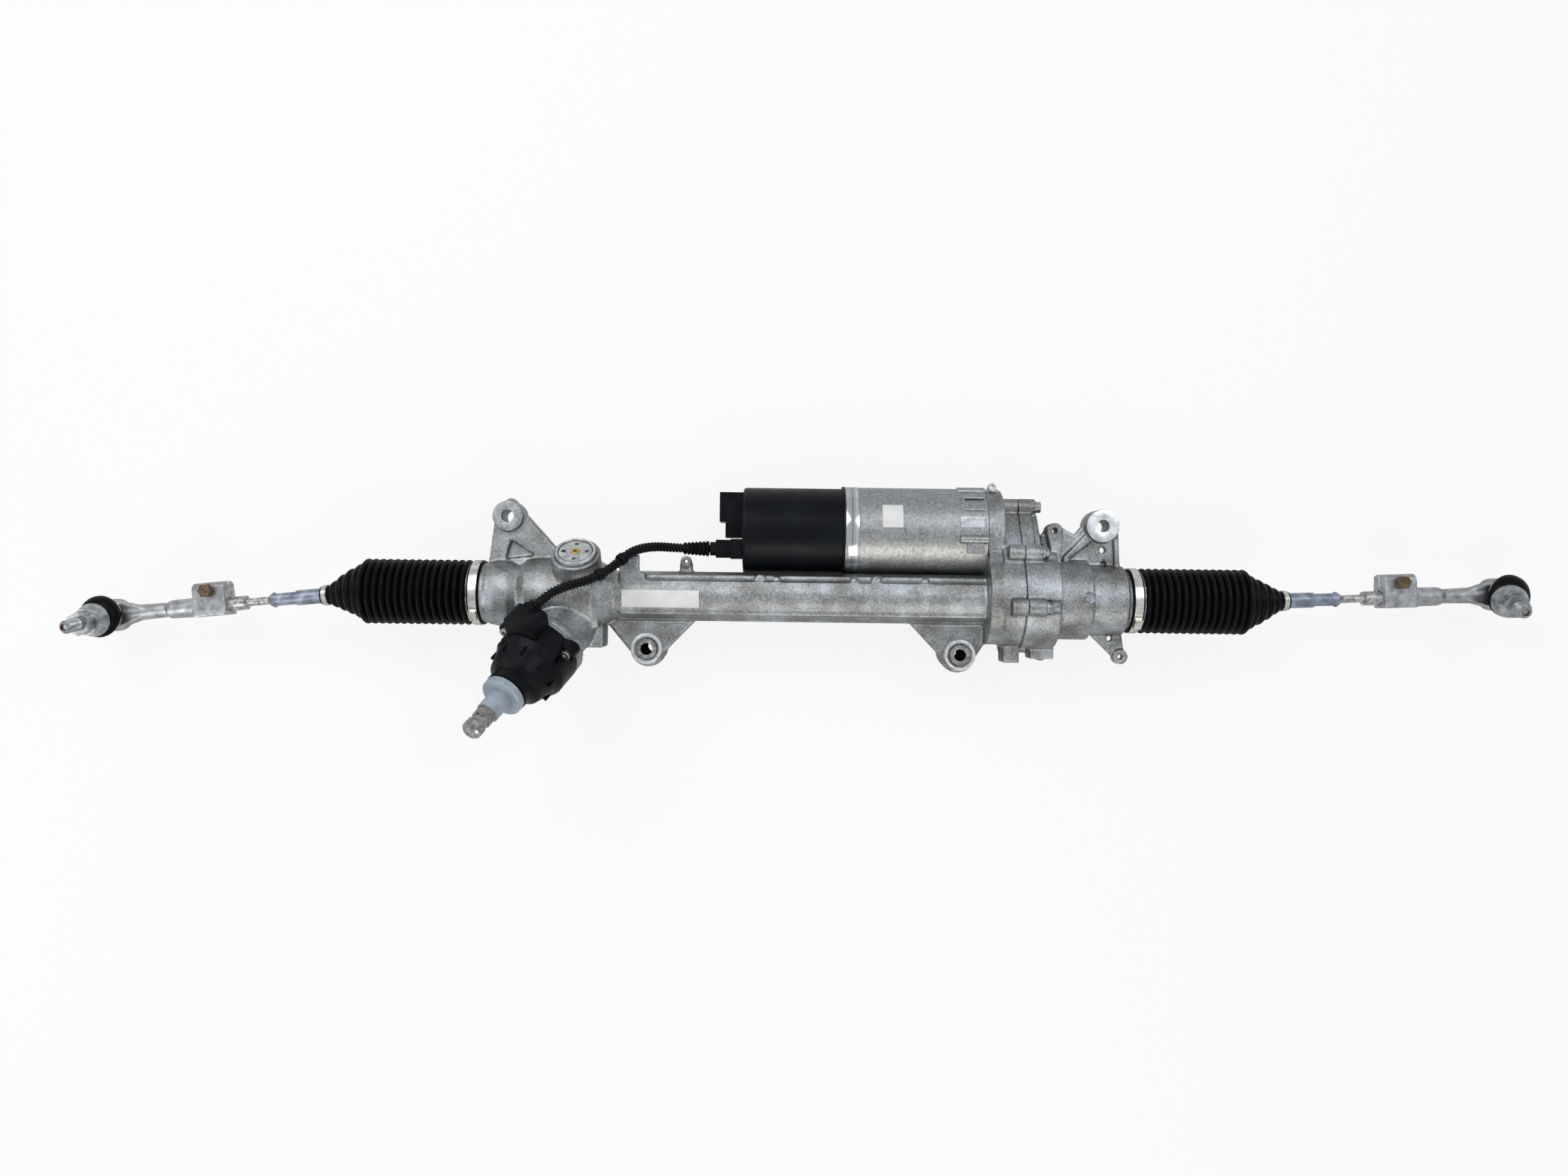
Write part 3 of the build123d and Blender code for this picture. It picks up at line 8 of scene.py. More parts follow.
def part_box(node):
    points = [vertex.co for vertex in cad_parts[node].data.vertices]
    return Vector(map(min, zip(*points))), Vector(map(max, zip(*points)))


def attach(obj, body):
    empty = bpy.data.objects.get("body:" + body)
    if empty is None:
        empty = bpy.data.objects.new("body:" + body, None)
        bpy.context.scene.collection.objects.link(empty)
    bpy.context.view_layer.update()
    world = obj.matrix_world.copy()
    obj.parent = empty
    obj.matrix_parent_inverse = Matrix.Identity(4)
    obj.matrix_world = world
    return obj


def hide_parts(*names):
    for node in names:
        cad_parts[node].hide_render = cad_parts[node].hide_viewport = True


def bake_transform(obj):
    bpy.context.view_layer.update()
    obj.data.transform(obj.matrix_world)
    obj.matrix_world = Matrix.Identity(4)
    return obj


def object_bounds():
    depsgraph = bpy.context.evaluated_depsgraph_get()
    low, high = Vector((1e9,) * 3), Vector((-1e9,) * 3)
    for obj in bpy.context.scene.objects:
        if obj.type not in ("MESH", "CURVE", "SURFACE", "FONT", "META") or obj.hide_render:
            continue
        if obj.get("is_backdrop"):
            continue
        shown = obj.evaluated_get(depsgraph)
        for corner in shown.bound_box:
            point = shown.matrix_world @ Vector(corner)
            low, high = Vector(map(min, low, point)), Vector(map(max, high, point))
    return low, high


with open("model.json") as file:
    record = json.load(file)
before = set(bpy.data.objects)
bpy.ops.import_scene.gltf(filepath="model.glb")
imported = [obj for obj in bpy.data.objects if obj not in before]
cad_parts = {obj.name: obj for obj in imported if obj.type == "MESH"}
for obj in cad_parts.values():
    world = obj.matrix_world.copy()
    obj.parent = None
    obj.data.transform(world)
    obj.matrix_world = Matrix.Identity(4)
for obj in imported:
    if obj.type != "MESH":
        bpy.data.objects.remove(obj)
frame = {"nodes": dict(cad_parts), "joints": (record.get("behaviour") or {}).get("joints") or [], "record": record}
cad_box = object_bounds()
bpy.ops.object.select_all(action="DESELECT")

# Camera. It hangs square above the rack bar, turned by the small angle at which the bar lies in the
# picture, with the lens that gives the picture's spread. All sizes are metres; mm turns them.
mm = 0.001


def middle(node):
    """Middle of a CAD node's box."""
    low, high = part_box(node)
    return (Vector(low) + Vector(high)) / 2


bar = Vector((middle("large_boot_clamps").x, middle("nut_pulley").y, middle("nut_pulley").z))
camera_offset, camera_height, camera_turn = (-21.5, 8.5), 1180, 0.74
focal_pixels, frame_pixels, film_width = 1640, 2212, 36
camera_data = bpy.data.cameras.new("camera")
camera_data.sensor_width = film_width
camera_data.lens = film_width * focal_pixels / frame_pixels
camera_data.clip_start = 0.01
camera = bpy.data.objects.new("camera", camera_data)
camera.location = bar + Vector((*camera_offset, camera_height)) * mm
camera.rotation_euler = (0, 0, math.radians(camera_turn))
bpy.context.collection.objects.link(camera)
bpy.context.scene.camera = camera

# Floor and light. A pale matt floor under the part, four soft lamps and a pale sky: bright to the
# eye and in reflections, and plain in level on the part itself.


def add_node(tree, kind, links=None, stops=(), **settings):
    """One shader node: settings go on the node or its inputs, links join inputs to outputs, and
    stops are the positions and hex codes of a colour ramp."""
    node = tree.nodes.new(kind)
    for name, value in settings.items():
        if hasattr(node, name):
            setattr(node, name, value)
        else:
            node.inputs[name.replace("_", " ")].default_value = value
    for name, output in (links or {}).items():
        tree.links.new(output, node.inputs[name])
    if stops:
        ramp = node.color_ramp.elements
        ramp.remove(ramp[0])
        for i, (position, code) in enumerate(stops):
            stop = ramp[0] if i == 0 else ramp.new(position)
            stop.position = position
            stop.color = colour(code)
    return node


def colour(hex_code, alpha=1.0):
    """An sRGB hex code as the linear colour that a shader takes."""
    parts = [int(hex_code[i:i + 2], 16) / 255 for i in (0, 2, 4)]
    linear = [p / 12.92 if p <= 0.04045 else ((p + 0.055) / 1.055) ** 2.4 for p in parts]
    return (*linear, alpha)


floor_glow, floor_size, floor_drop = 0.85, 12, 0.2
floor_material = bpy.data.materials.new("matt_white_card")
floor_material.use_nodes = True
floor_tree = floor_material.node_tree
floor_tree.nodes.clear()
rays = add_node(floor_tree, "ShaderNodeLightPath")
card = add_node(floor_tree, "ShaderNodeBsdfDiffuse", Color=colour("ececec"))
glow = add_node(floor_tree, "ShaderNodeEmission", Color=colour("ffffff"), Strength=1.0)
part_glow = add_node(floor_tree, "ShaderNodeMath", {0: rays.outputs["Is Camera Ray"]}, operation="MULTIPLY")
part_glow.inputs[1].default_value = floor_glow
mixed = add_node(floor_tree, "ShaderNodeMixShader",
                 {0: part_glow.outputs[0], 1: card.outputs[0], 2: glow.outputs[0]})
add_node(floor_tree, "ShaderNodeOutputMaterial", {"Surface": mixed.outputs[0]})
bpy.ops.mesh.primitive_plane_add(size=floor_size, location=(bar.x, bar.y, -floor_drop * mm))
floor = bpy.context.object
floor.name = "floor"
floor.data.materials.append(floor_material)
floor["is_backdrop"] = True

sky_on_matt, sky_in_gloss = 0.42, 0.75
world = bpy.data.worlds.new("studio")
bpy.context.scene.world = world
world.use_nodes = True
sky_tree = world.node_tree
sky_tree.nodes.clear()
rays = add_node(sky_tree, "ShaderNodeLightPath")
sky_seen = add_node(sky_tree, "ShaderNodeMath",
                    {0: rays.outputs["Is Camera Ray"], 1: rays.outputs["Is Glossy Ray"]}, operation="MAXIMUM")
sky_level = add_node(sky_tree, "ShaderNodeMapRange", {"Value": sky_seen.outputs[0]},
                     To_Min=sky_on_matt, To_Max=sky_in_gloss)
sky = add_node(sky_tree, "ShaderNodeBackground", {"Strength": sky_level.outputs[0]}, Color=colour("eef2f7"))
add_node(sky_tree, "ShaderNodeOutputWorld", {"Surface": sky.outputs[0]})
soft_lamps = (((-0.9, 1.1, 1.5), 1.3, 16, "ffffff"), ((1.0, 0.9, 1.6), 0.9, 9, "f4f7ff"),
              ((0.2, -1.3, 1.1), 0.8, 7, "fff6ea"), ((-1.5, -0.6, 0.7), 0.5, 4, "ffffff"))
for place, size, power, tint in soft_lamps:
    lamp_data = bpy.data.lights.new("soft_lamp", "AREA")
    lamp_data.size = size
    lamp_data.energy = power
    lamp_data.color = colour(tint)[:3]
    lamp = bpy.data.objects.new("soft_lamp", lamp_data)
    lamp.location = bar + Vector(place)
    lamp.rotation_euler = (bar - lamp.location).to_track_quat("-Z", "Y").to_euler()
    bpy.context.collection.objects.link(lamp)
bpy.context.scene.view_settings.view_transform = "Standard"

# Main casting and ball-nut cover. High-pressure die castings in aluminium-silicon alloy, as cast:
# a dull grey skin with cloudy flow marks, shot-blast grain and round fillets everywhere. Ribs, a
# block beside the sensor and the round prints of ejector pins are cast in one with the tube.


def new_material(name):
    """An empty node material with its Principled shader joined to the output."""
    material = bpy.data.materials.new(name)
    material.use_nodes = True
    tree = material.node_tree
    tree.nodes.clear()
    shader = add_node(tree, "ShaderNodeBsdfPrincipled")
    add_node(tree, "ShaderNodeOutputMaterial", {"Surface": shader.outputs[0]})
    return material, tree, shader


def clouds(tree, size, detail=3.0, rough=0.55, stretch=(1, 1, 1)):
    """Cloudy pattern over a piece, its blotches about this many millimetres across."""
    place = add_node(tree, "ShaderNodeTexCoord")
    scaled = add_node(tree, "ShaderNodeMapping", {"Vector": place.outputs["Object"]})
    scaled.inputs["Scale"].default_value = stretch
    return add_node(tree, "ShaderNodeTexNoise", {"Vector": scaled.outputs[0]}, Scale=1 / (size * mm),
                    Detail=detail, Roughness=rough).outputs[0]


def surface(tree, shader, metallic, roughness, bumps=None, gloss=None):
    """What light does on a finish. Roughness is one number, or a pattern with its lowest and highest
    value; bumps are a pattern, its depth in millimetres and its strength."""
    shader.inputs["Metallic"].default_value = metallic
    if gloss is not None:
        shader.inputs["Specular IOR Level"].default_value = gloss
    if isinstance(roughness, tuple):
        pattern, low, high = roughness
        worn = add_node(tree, "ShaderNodeMapRange", {"Value": pattern}, From_Min=0.3, From_Max=0.7,
                        To_Min=low, To_Max=high)
        tree.links.new(worn.outputs[0], shader.inputs["Roughness"])
    else:
        shader.inputs["Roughness"].default_value = roughness
    if bumps:
        pattern, depth, strength = bumps
        bump = add_node(tree, "ShaderNodeBump", {"Height": pattern}, Distance=depth * mm, Strength=strength)
        tree.links.new(bump.outputs[0], shader.inputs["Normal"])


def paint(piece, material):
    """Give a piece one material in every slot."""
    piece.data.materials.clear()
    piece.data.materials.append(material)


def only_select(piece):
    """Select one piece and nothing else."""
    bpy.ops.object.select_all(action="DESELECT")
    piece.select_set(True)
    bpy.context.view_layer.objects.active = piece


def apply_modifiers(piece):
    """Make a piece's modifiers part of its mesh, in their order."""
    only_select(piece)
    for modifier in list(piece.modifiers):
        bpy.ops.object.modifier_apply(modifier=modifier.name)


def copy_of(node, name):
    """A separate mesh with a CAD node's shape, its loose triangles joined."""
    piece = bpy.data.objects.new(name, frame["nodes"][node].data.copy())
    bpy.context.collection.objects.link(piece)
    piece.data.materials.clear()
    only_select(piece)
    bpy.ops.object.mode_set(mode="EDIT")
    bpy.ops.mesh.select_all(action="SELECT")
    bpy.ops.mesh.remove_doubles(threshold=0.01 * mm)
    bpy.ops.object.mode_set(mode="OBJECT")
    return piece


def cast_skin(piece, voxel, rounds, keep):
    """Melt a sharp solid into a casting: even mesh, corners rounded off, flat runs thinned."""
    remesh = piece.modifiers.new("skin", "REMESH")
    remesh.mode = "VOXEL"
    remesh.voxel_size = voxel * mm
    smooth = piece.modifiers.new("fillets", "SMOOTH")
    smooth.factor = 0.5
    smooth.iterations = rounds
    thin = piece.modifiers.new("thin", "DECIMATE")
    thin.ratio = keep
    apply_modifiers(piece)
    bpy.ops.object.shade_smooth()


def round_edges(piece, bevel, segments):
    """Set a fresh primitive's size in its mesh and bevel all its edges."""
    bpy.ops.object.transform_apply(location=True, rotation=False, scale=True)
    bpy.ops.object.mode_set(mode="EDIT")
    bpy.ops.mesh.select_all(action="SELECT")
    bpy.ops.mesh.bevel(offset=bevel * mm, segments=segments, affect="EDGES")
    bpy.ops.object.mode_set(mode="OBJECT")
    return piece


def cast_block(low, high, bevel):
    """A bevelled block between two corners in millimetres from the bar's middle."""
    bpy.ops.object.select_all(action="DESELECT")
    low, high = Vector(low), Vector(high)
    bpy.ops.mesh.primitive_cube_add(size=mm, location=bar + (low + high) / 2 * mm)
    block = bpy.context.object
    block.scale = high - low
    return round_edges(block, bevel, 3)


def ejector_pad(x, y, radius, top):
    """The round print of an ejector pin, its flat top at a height."""
    bpy.ops.object.select_all(action="DESELECT")
    bpy.ops.mesh.primitive_cylinder_add(vertices=40, radius=radius * mm, depth=6 * mm,
                                        location=bar + Vector((x, y, top - 3)) * mm)
    return round_edges(bpy.context.object, 0.5, 2)


def join_to(piece, extras):
    """One mesh from a piece and what is cast in one with it."""
    only_select(piece)
    for extra in extras:
        extra.select_set(True)
    bpy.ops.object.join()


cast_aluminium, tree, shader = new_material("die_cast_aluminium")
flow_marks, specks = clouds(tree, 26, 4), clouds(tree, 2.2, 4, 0.75)
speck_share, level_shift = 1.1, 0.55
tone = add_node(tree, "ShaderNodeMath", {0: specks, 2: flow_marks}, operation="MULTIPLY_ADD")
tone.inputs[1].default_value = speck_share
level = add_node(tree, "ShaderNodeMath", {0: tone.outputs[0]}, operation="SUBTRACT")
level.inputs[1].default_value = level_shift
greys = add_node(tree, "ShaderNodeValToRGB", {"Fac": level.outputs[0]},
                 stops=((0.28, "6f6c68"), (0.42, "848583"), (0.54, "939697"), (0.7, "acb2b5")))
tree.links.new(greys.outputs[0], shader.inputs["Base Color"])
surface(tree, shader, 1.0, (specks, 0.36, 0.5), (clouds(tree, 1.3, 5, 0.65), 0.35, 0.8))
upper_tube_rib = ((-176, 12.0, 14), (186, 14.4, 21.6), 0.9)
lower_tube_rib = ((-186, -19.5, 10), (186, -14.6, 19.4), 1.2)
sensor_side_block = ((-226, -54, -20), (-202, -30, 12), 2.5)
sensor_side_web = ((-214, -34, 4), (-206, -14, 22), 2.0)
ejector_pads = ((-45.7, 16.6, 5.0, 19.6), (-28.7, 16.6, 3.0, 19.2), (48.3, 15.6, 3.8, 19.8),
                (70.5, 16.4, 4.8, 19.8), (119.6, 16.2, 3.4, 19.6))
cast_on = [cast_block(*b) for b in (upper_tube_rib, lower_tube_rib, sensor_side_block, sensor_side_web)]
cast_on += [ejector_pad(*pad) for pad in ejector_pads]
for node, voxel, rounds, keep in (("main_casting", 1.35, 3, 0.4), ("ball_nut_cover", 1.15, 3, 0.5)):
    casting = copy_of(node, node + "_skin")
    if node == "main_casting":
        join_to(casting, cast_on)
    cast_skin(casting, voxel, rounds, keep)
    paint(casting, cast_aluminium)
    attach(casting, "housing")
    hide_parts(node)

# Machined seats of the mounting eyes. Each eye is faced off square on top and below. Three are bright from the
# cutter and from a painted highlight in their colour, and the upper left one has the colour of the casting.


def finish(name, blotches, stops, metallic, roughness, bumps=None, gloss=None):
    """A material whose colour runs through stops in blotches of a size in millimetres, with the same
    words for roughness and bumps as surface, but patterns given by their size."""
    material, tree, shader = new_material(name)
    tones = add_node(tree, "ShaderNodeValToRGB", {"Fac": clouds(tree, *blotches)}, stops=stops)
    tree.links.new(tones.outputs[0], shader.inputs["Base Color"])
    if isinstance(roughness, tuple):
        roughness = (clouds(tree, *roughness[0]), *roughness[1:])
    if bumps:
        bumps = (clouds(tree, *bumps[0]), *bumps[1:])
    surface(tree, shader, metallic, roughness, bumps, gloss)
    return material


def lathe(name, profile, centre, direction, segments=64, closed=True):
    """Turned piece: its rings are (radius, height) in millimetres along a direction, in order."""
    bpy.ops.object.select_all(action="DESELECT")
    first_radius, first_height = profile[0]
    bpy.ops.mesh.primitive_circle_add(vertices=segments, radius=first_radius * mm, location=(0, 0, 0))
    piece = bpy.context.object
    piece.name = name
    bpy.ops.object.mode_set(mode="EDIT")
    bpy.ops.mesh.select_all(action="SELECT")
    bpy.ops.transform.translate(value=(0, 0, first_height * mm))
    radius, height = first_radius, first_height
    for next_radius, next_height in profile[1:]:
        bpy.ops.mesh.extrude_region_move(
            TRANSFORM_OT_translate={"value": (0, 0, (next_height - height) * mm)})
        grow = next_radius / radius
        if grow != 1:
            bpy.ops.transform.resize(value=(grow, grow, 1), center_override=(0, 0, next_height * mm))
        radius, height = next_radius, next_height
    if closed:
        bpy.ops.mesh.select_all(action="SELECT")
        bpy.ops.mesh.remove_doubles(threshold=0.001 * mm)
        bpy.ops.mesh.select_non_manifold(extend=False, use_boundary=True)
        bpy.ops.mesh.fill_holes(sides=0)
    bpy.ops.mesh.select_all(action="SELECT")
    bpy.ops.mesh.normals_make_consistent(inside=False)
    bpy.ops.object.mode_set(mode="OBJECT")
    first = piece.data.polygons[0]
    if not closed and first.normal.dot(Vector((first.center.x, first.center.y, 0))) < 0:
        piece.data.flip_normals()
    turn = Vector(direction).normalized().to_track_quat("Z", "Y").to_matrix().to_4x4()
    piece.data.transform(Matrix.Translation(Vector(centre)) @ turn)
    bpy.ops.object.shade_smooth_by_angle(angle=math.radians(35))
    return piece


def fit(piece, material, body):
    """Give a rigid piece its material, and let it move with a body."""
    paint(piece, material)
    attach(piece, body)


# Faced aluminium, brightened nearly to white as a painted highlight. It goes on three eye seats, the faced motor
# lug and the small motor eyes.
faced_with_painted_highlight = finish("faced_aluminium_and_painted_highlight", (5, 3), ((0.35, "bec1c3"), (0.6, "e8eaec")), 1.0, 0.3,
                       ((0.6, 2), 0.06, 0.5))
up = Vector((0, 0, 1))
face_height, face_crown = 0.25, 0.35
eyes = {"upper_left": (15.0, 6.3, 14.0), "upper_right": (16.2, 6.3, 14.0),
        "lower_left": (15.6, 12.9, 34.6), "lower_right": (15.6, 12.9, 34.6)}
mounts = {mount["name"]: mount for mount in frame["record"]["mounts"]}
for eye, (outer, bore, half) in eyes.items():
    centre = Vector(mounts[eye + "_bolt"]["pos_m"])
    profile = [(bore, 0), (bore, face_height), (bore + 0.4, face_crown), (outer - 0.5, face_crown),
               (outer, face_height), (outer, 0), (bore, 0)]
    for side, word in ((1, "top"), (-1, "under")):
        ring = lathe(f"{eye}_{word}_face", profile, centre + up * side * half * mm, up * side)
        # Three eyes take the bright faced colour, which is partly a painted highlight; the upper left one takes
        # the casting's colour.
        fit(ring, cast_aluminium if eye == "upper_left" else faced_with_painted_highlight, "housing")

# Bellows boots. Black chloroprene rubber, blow moulded: fifteen rounded folds on the cylinder, four
# on the cone, and a plain neck on the tie rod. Each is cut in three where it bends.


def fold_profile(start, end, folds, crest, trough, shrink=1.0):
    """Rounded folds: broad crests and narrow valleys, shrinking along the way."""
    rings = []
    steps = 8
    for i in range(folds * steps + 1):
        share = i / (folds * steps)
        phase = 2 * math.pi * (i % steps) / steps
        lift = (0.5 - 0.5 * math.cos(phase)) ** 0.45
        size = 1 + (shrink - 1) * share
        rings.append(((trough + (crest - trough) * lift) * size, start + (end - start) * share))
    return rings


def lean_over(piece, centre, outward, turn, start, end):
    """Turn a piece about a point: none of it before start, all past end, in metres outward."""
    for vertex in piece.data.vertices:
        reach = (vertex.co - centre).dot(outward)
        share = min(1, max(0, (reach - start) / (end - start)))
        share = share * share * (3 - 2 * share)
        part_turn = Matrix.Identity(3).lerp(turn, share)
        vertex.co = centre + part_turn @ (vertex.co - centre)


def give_wall(piece, thickness):
    """Thicken an open skin inwards, in millimetres."""
    wall = piece.modifiers.new("wall", "SOLIDIFY")
    wall.thickness = thickness * mm
    wall.offset = -1
    apply_modifiers(piece)


moulded_rubber = finish("chloroprene_rubber", (9, 3), ((0.3, "040505"), (0.7, "0b0c0e")), 0.0,
                        ((22, 2), 0.32, 0.5), ((0.7, 3), 0.05, 0.6), gloss=0.08)
boot_crest, boot_groove, boot_collar, boot_neck, boot_skin = 33.0, 28.6, 32.0, 9.6, 1.5
boot_start, folds_start, cone_start, neck_start, boot_end = 324.0, 337.0, 446.0, 482.5, 491.5
cone_crest, tail_crest, cone_depth, tail_depth = 29.5, 20.65, 4.0, 3.4
cone_shrink, tail_shrink = 0.7, 0.52
cone_middle = (cone_start + neck_start) / 2
inner_ball_x = 440.0
joints = {joint["name"]: joint for joint in frame["joints"]}
rod_way = {side: Vector(joints["toe_adjust_" + side]["axis"]) for side in ("left", "right")}
for side, sign in (("left", -1), ("right", 1)):
    outward = Vector((sign, 0, 0))
    ball = bar + outward * inner_ball_x * mm
    turn = outward.rotation_difference(rod_way[side]).to_matrix()
    folds = [(boot_collar, boot_start), (boot_collar, folds_start - 1.5)]
    folds += fold_profile(folds_start, cone_start, 15, boot_crest, boot_groove)
    cone = fold_profile(cone_start, cone_middle, 2, cone_crest, cone_crest - cone_depth, cone_shrink)
    tail = fold_profile(cone_middle, neck_start, 2, tail_crest, tail_crest - tail_depth, tail_shrink)
    tail += [(boot_neck, neck_start + 1), (boot_neck, boot_end), (boot_neck - boot_skin, boot_end)]
    cone[0] = folds[-1] = (boot_groove, cone_start)
    tail[0] = cone[-1]
    stretches = (("folds", folds, "housing", "rack", 336, 438),
                 ("cone", cone, "rack", "inner_seat_" + side, 448, 464),
                 ("tail", tail, "inner_seat_" + side, "tie_rod_" + side, 466, 480))
    for word, profile, first, last, begin, finished in stretches:
        piece = lathe(f"boot_{side}_{word}", profile, bar, outward, 72, closed=False)
        lean_over(piece, ball, outward, turn, (cone_start - inner_ball_x) * mm,
                  (neck_start - inner_ball_x - 2) * mm)
        give_wall(piece, boot_skin)
        paint(piece, moulded_rubber)
        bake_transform(piece)
        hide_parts("boot_" + side)

# Boot clamps. Bright stainless band on the housing end, drawn tight by a folded ear, and a thinner
# band on the tie rod.

stainless = finish("rolled_stainless_band", (7, 3), ((0.35, "b9b5ad"), (0.62, "dfdcd5")), 1.0, 0.26,
                   ((1.5, 2, 0.55, (0.3, 1, 1)), 0.04, 0.5))
for node in ("large_boot_clamps", "small_clamp_left", "small_clamp_right"):
    paint(frame["nodes"][node], stainless)

# Tie rods. Cold-formed steel with a grey zinc-flake coat up to the wrench flats, and a bare bright
# waist and collar where the thread was rolled. The ball sits in the socket behind the boot.


def two_tones(tree, shader, point, start, end, near, far):
    """Two toned finishes parted by the distance from a point; each is its blotches and stops."""
    place = add_node(tree, "ShaderNodeTexCoord")
    reach = add_node(tree, "ShaderNodeVectorMath", {0: place.outputs["Object"]}, operation="DISTANCE")
    reach.inputs[1].default_value = point
    beyond = add_node(tree, "ShaderNodeMapRange", {"Value": reach.outputs["Value"]}, From_Min=start * mm,
                      From_Max=end * mm)
    toned = [add_node(tree, "ShaderNodeValToRGB", {"Fac": clouds(tree, *blotches)}, stops=stops)
             for blotches, stops in (near, far)]
    mixed = add_node(tree, "ShaderNodeMix", {"Factor": beyond.outputs[0]}, data_type="RGBA")
    for socket, tones in zip((6, 7), toned):
        tree.links.new(tones.outputs[0], mixed.inputs[socket])
    tree.links.new(mixed.outputs[2], shader.inputs["Base Color"])


flake_coat = ((11, 4), ((0.3, "6d7481"), (0.5, "8c93a1"), (0.7, "adb3be")))
bare_steel = ((4, 3), ((0.35, "8b8984"), (0.6, "c9c9c8")))
coat_end, bare_start = 104.5, 106
for side in ("left", "right"):
    rod_steel, tree, shader = new_material("zinc_flake_steel_" + side)
    ball = Vector(joints["inner_lift_" + side]["pos_m"])
    two_tones(tree, shader, ball, coat_end, bare_start, flake_coat, bare_steel)
    surface(tree, shader, 0.9, (clouds(tree, 8, 3), 0.3, 0.45), (clouds(tree, 0.8, 4), 0.08, 0.5))
    paint(frame["nodes"]["tie_rod_" + side], rod_steel)

# Tie-rod ends. Forged aluminium, shot-blasted to a bright even grey, with a thick socket round the
# rod's thread and a clamp ear, slit and drilled for a pinch bolt that has begun to rust.

forged_aluminium = finish("forged_aluminium", (8, 4), ((0.3, "8a8b8c"), (0.5, "a9aaab"), (0.7, "c4c6c8")),
                          1.0, 0.42, ((0.9, 4, 0.7), 0.12, 0.7))
rusty_steel = finish("rusted_steel", (3, 5, 0.7), ((0.3, "3b2f26"), (0.5, "66523f"), (0.68, "8c7a62")),
                     0.4, 0.75, ((0.8, 4, 0.7), 0.15, 0.8))
socket_profile = [(7.2, 180), (9.9, 180), (10.0, 183), (9.6, 214), (8.8, 217.5), (7.2, 219)]
for side in ("left", "right"):
    forging = copy_of("rod_end_" + side, f"rod_end_{side}_forging")
    ball = Vector(joints["inner_lift_" + side]["pos_m"])
    join_to(forging, [lathe("clamp_socket_" + side, socket_profile, ball, rod_way[side], 48)])
    cast_skin(forging, 0.9, 4, 0.5)
    fit(forging, forged_aluminium, "rod_end_" + side)
    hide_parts("rod_end_" + side)
    paint(frame["nodes"]["pinch_bolt_" + side], rusty_steel)

# Outer ball joints. A glossy rubber boot shaped like a low pot covers each ball, gripped at the rim;
# a zinc-plated washer cone and flange nut sit on the threaded stud, which has rust in its tip.

zinc_tones = ((0.3, "777b7e"), (0.5, "9b9fa1"), (0.7, "bcbfc0"))
zinc_plate = finish("zinc_plated_steel", (6, 3), zinc_tones, 1.0, 0.3, ((1.2, 3), 0.05, 0.5))
dust_profile = [(17.2, 0.0), (18.4, 0.2), (18.9, 1.0), (18.3, 2.0), (19.6, 3.0), (20.9, 5.2), (21.2, 8.0),
                (20.6, 11.0), (18.8, 13.6), (16.0, 15.6), (13.2, 17.0), (11.6, 18.0), (11.5, 19.2),
                (10.3, 19.4), (8.9, 19.4)]
dust_base, dust_skin = 9.0, 1.2
thread_start, thread_pitch, thread_ridges, thread_end = 55.4, 1.75, 10, 73.0
thread_profile = [(5.7, thread_start - 0.1)]
for i in range(thread_ridges):
    at = thread_start + thread_pitch * i
    thread_profile += [(6.05, at), (6.6, at + 0.6), (6.6, at + 0.9), (6.05, at + 1.5)]
thread_profile.append((5.7, thread_end))
tip_rust = ((2, 4), ((0.3, "2e1610"), (0.7, "6b3a26")))
stud_zinc = ((4, 3), ((0.3, "70706e"), (0.7, "a9abab")))
rust_end, zinc_start, tip_height = 3.4, 4.2, 74
for side in ("left", "right"):
    centre = Vector(joints["outer_swivel_" + side]["pos_m"])
    square = Vector(joints["outer_swivel_" + side]["axis"])
    stud = Vector(mounts[side + "_ball_stud"]["axis"])
    profile = [(radius, height + dust_base) for radius, height in dust_profile]
    cover = lathe("dust_cover_" + side, profile, centre, square, 64, closed=False)
    lean_over(cover, centre, square, square.rotation_difference(stud).to_matrix(), (dust_base + 2) * mm,
              (dust_base + 17) * mm)
    give_wall(cover, dust_skin)
    paint(cover, moulded_rubber)
    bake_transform(cover)
    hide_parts("dust_boot_" + side)
    thread = lathe("stud_thread_" + side, thread_profile, centre, stud, 48)
    fit(thread, zinc_plate, "ball_stud_" + side)
    stud_steel, tree, shader = new_material("zinc_plated_stud_" + side)
    two_tones(tree, shader, centre + stud * tip_height * mm, rust_end, zinc_start, tip_rust, stud_zinc)
    surface(tree, shader, 0.7, 0.42, (clouds(tree, 0.8, 4), 0.06, 0.6))
    paint(frame["nodes"]["ball_stud_" + side], stud_steel)
    paint(frame["nodes"]["stud_nut_" + side], zinc_plate)

# Steering-torque sensor. A black glass-filled nylon shell with ribs down to a round neck, screwed to
# an aluminium flange; the grey collar turns with the shaft, whose splined tip is machined steel.

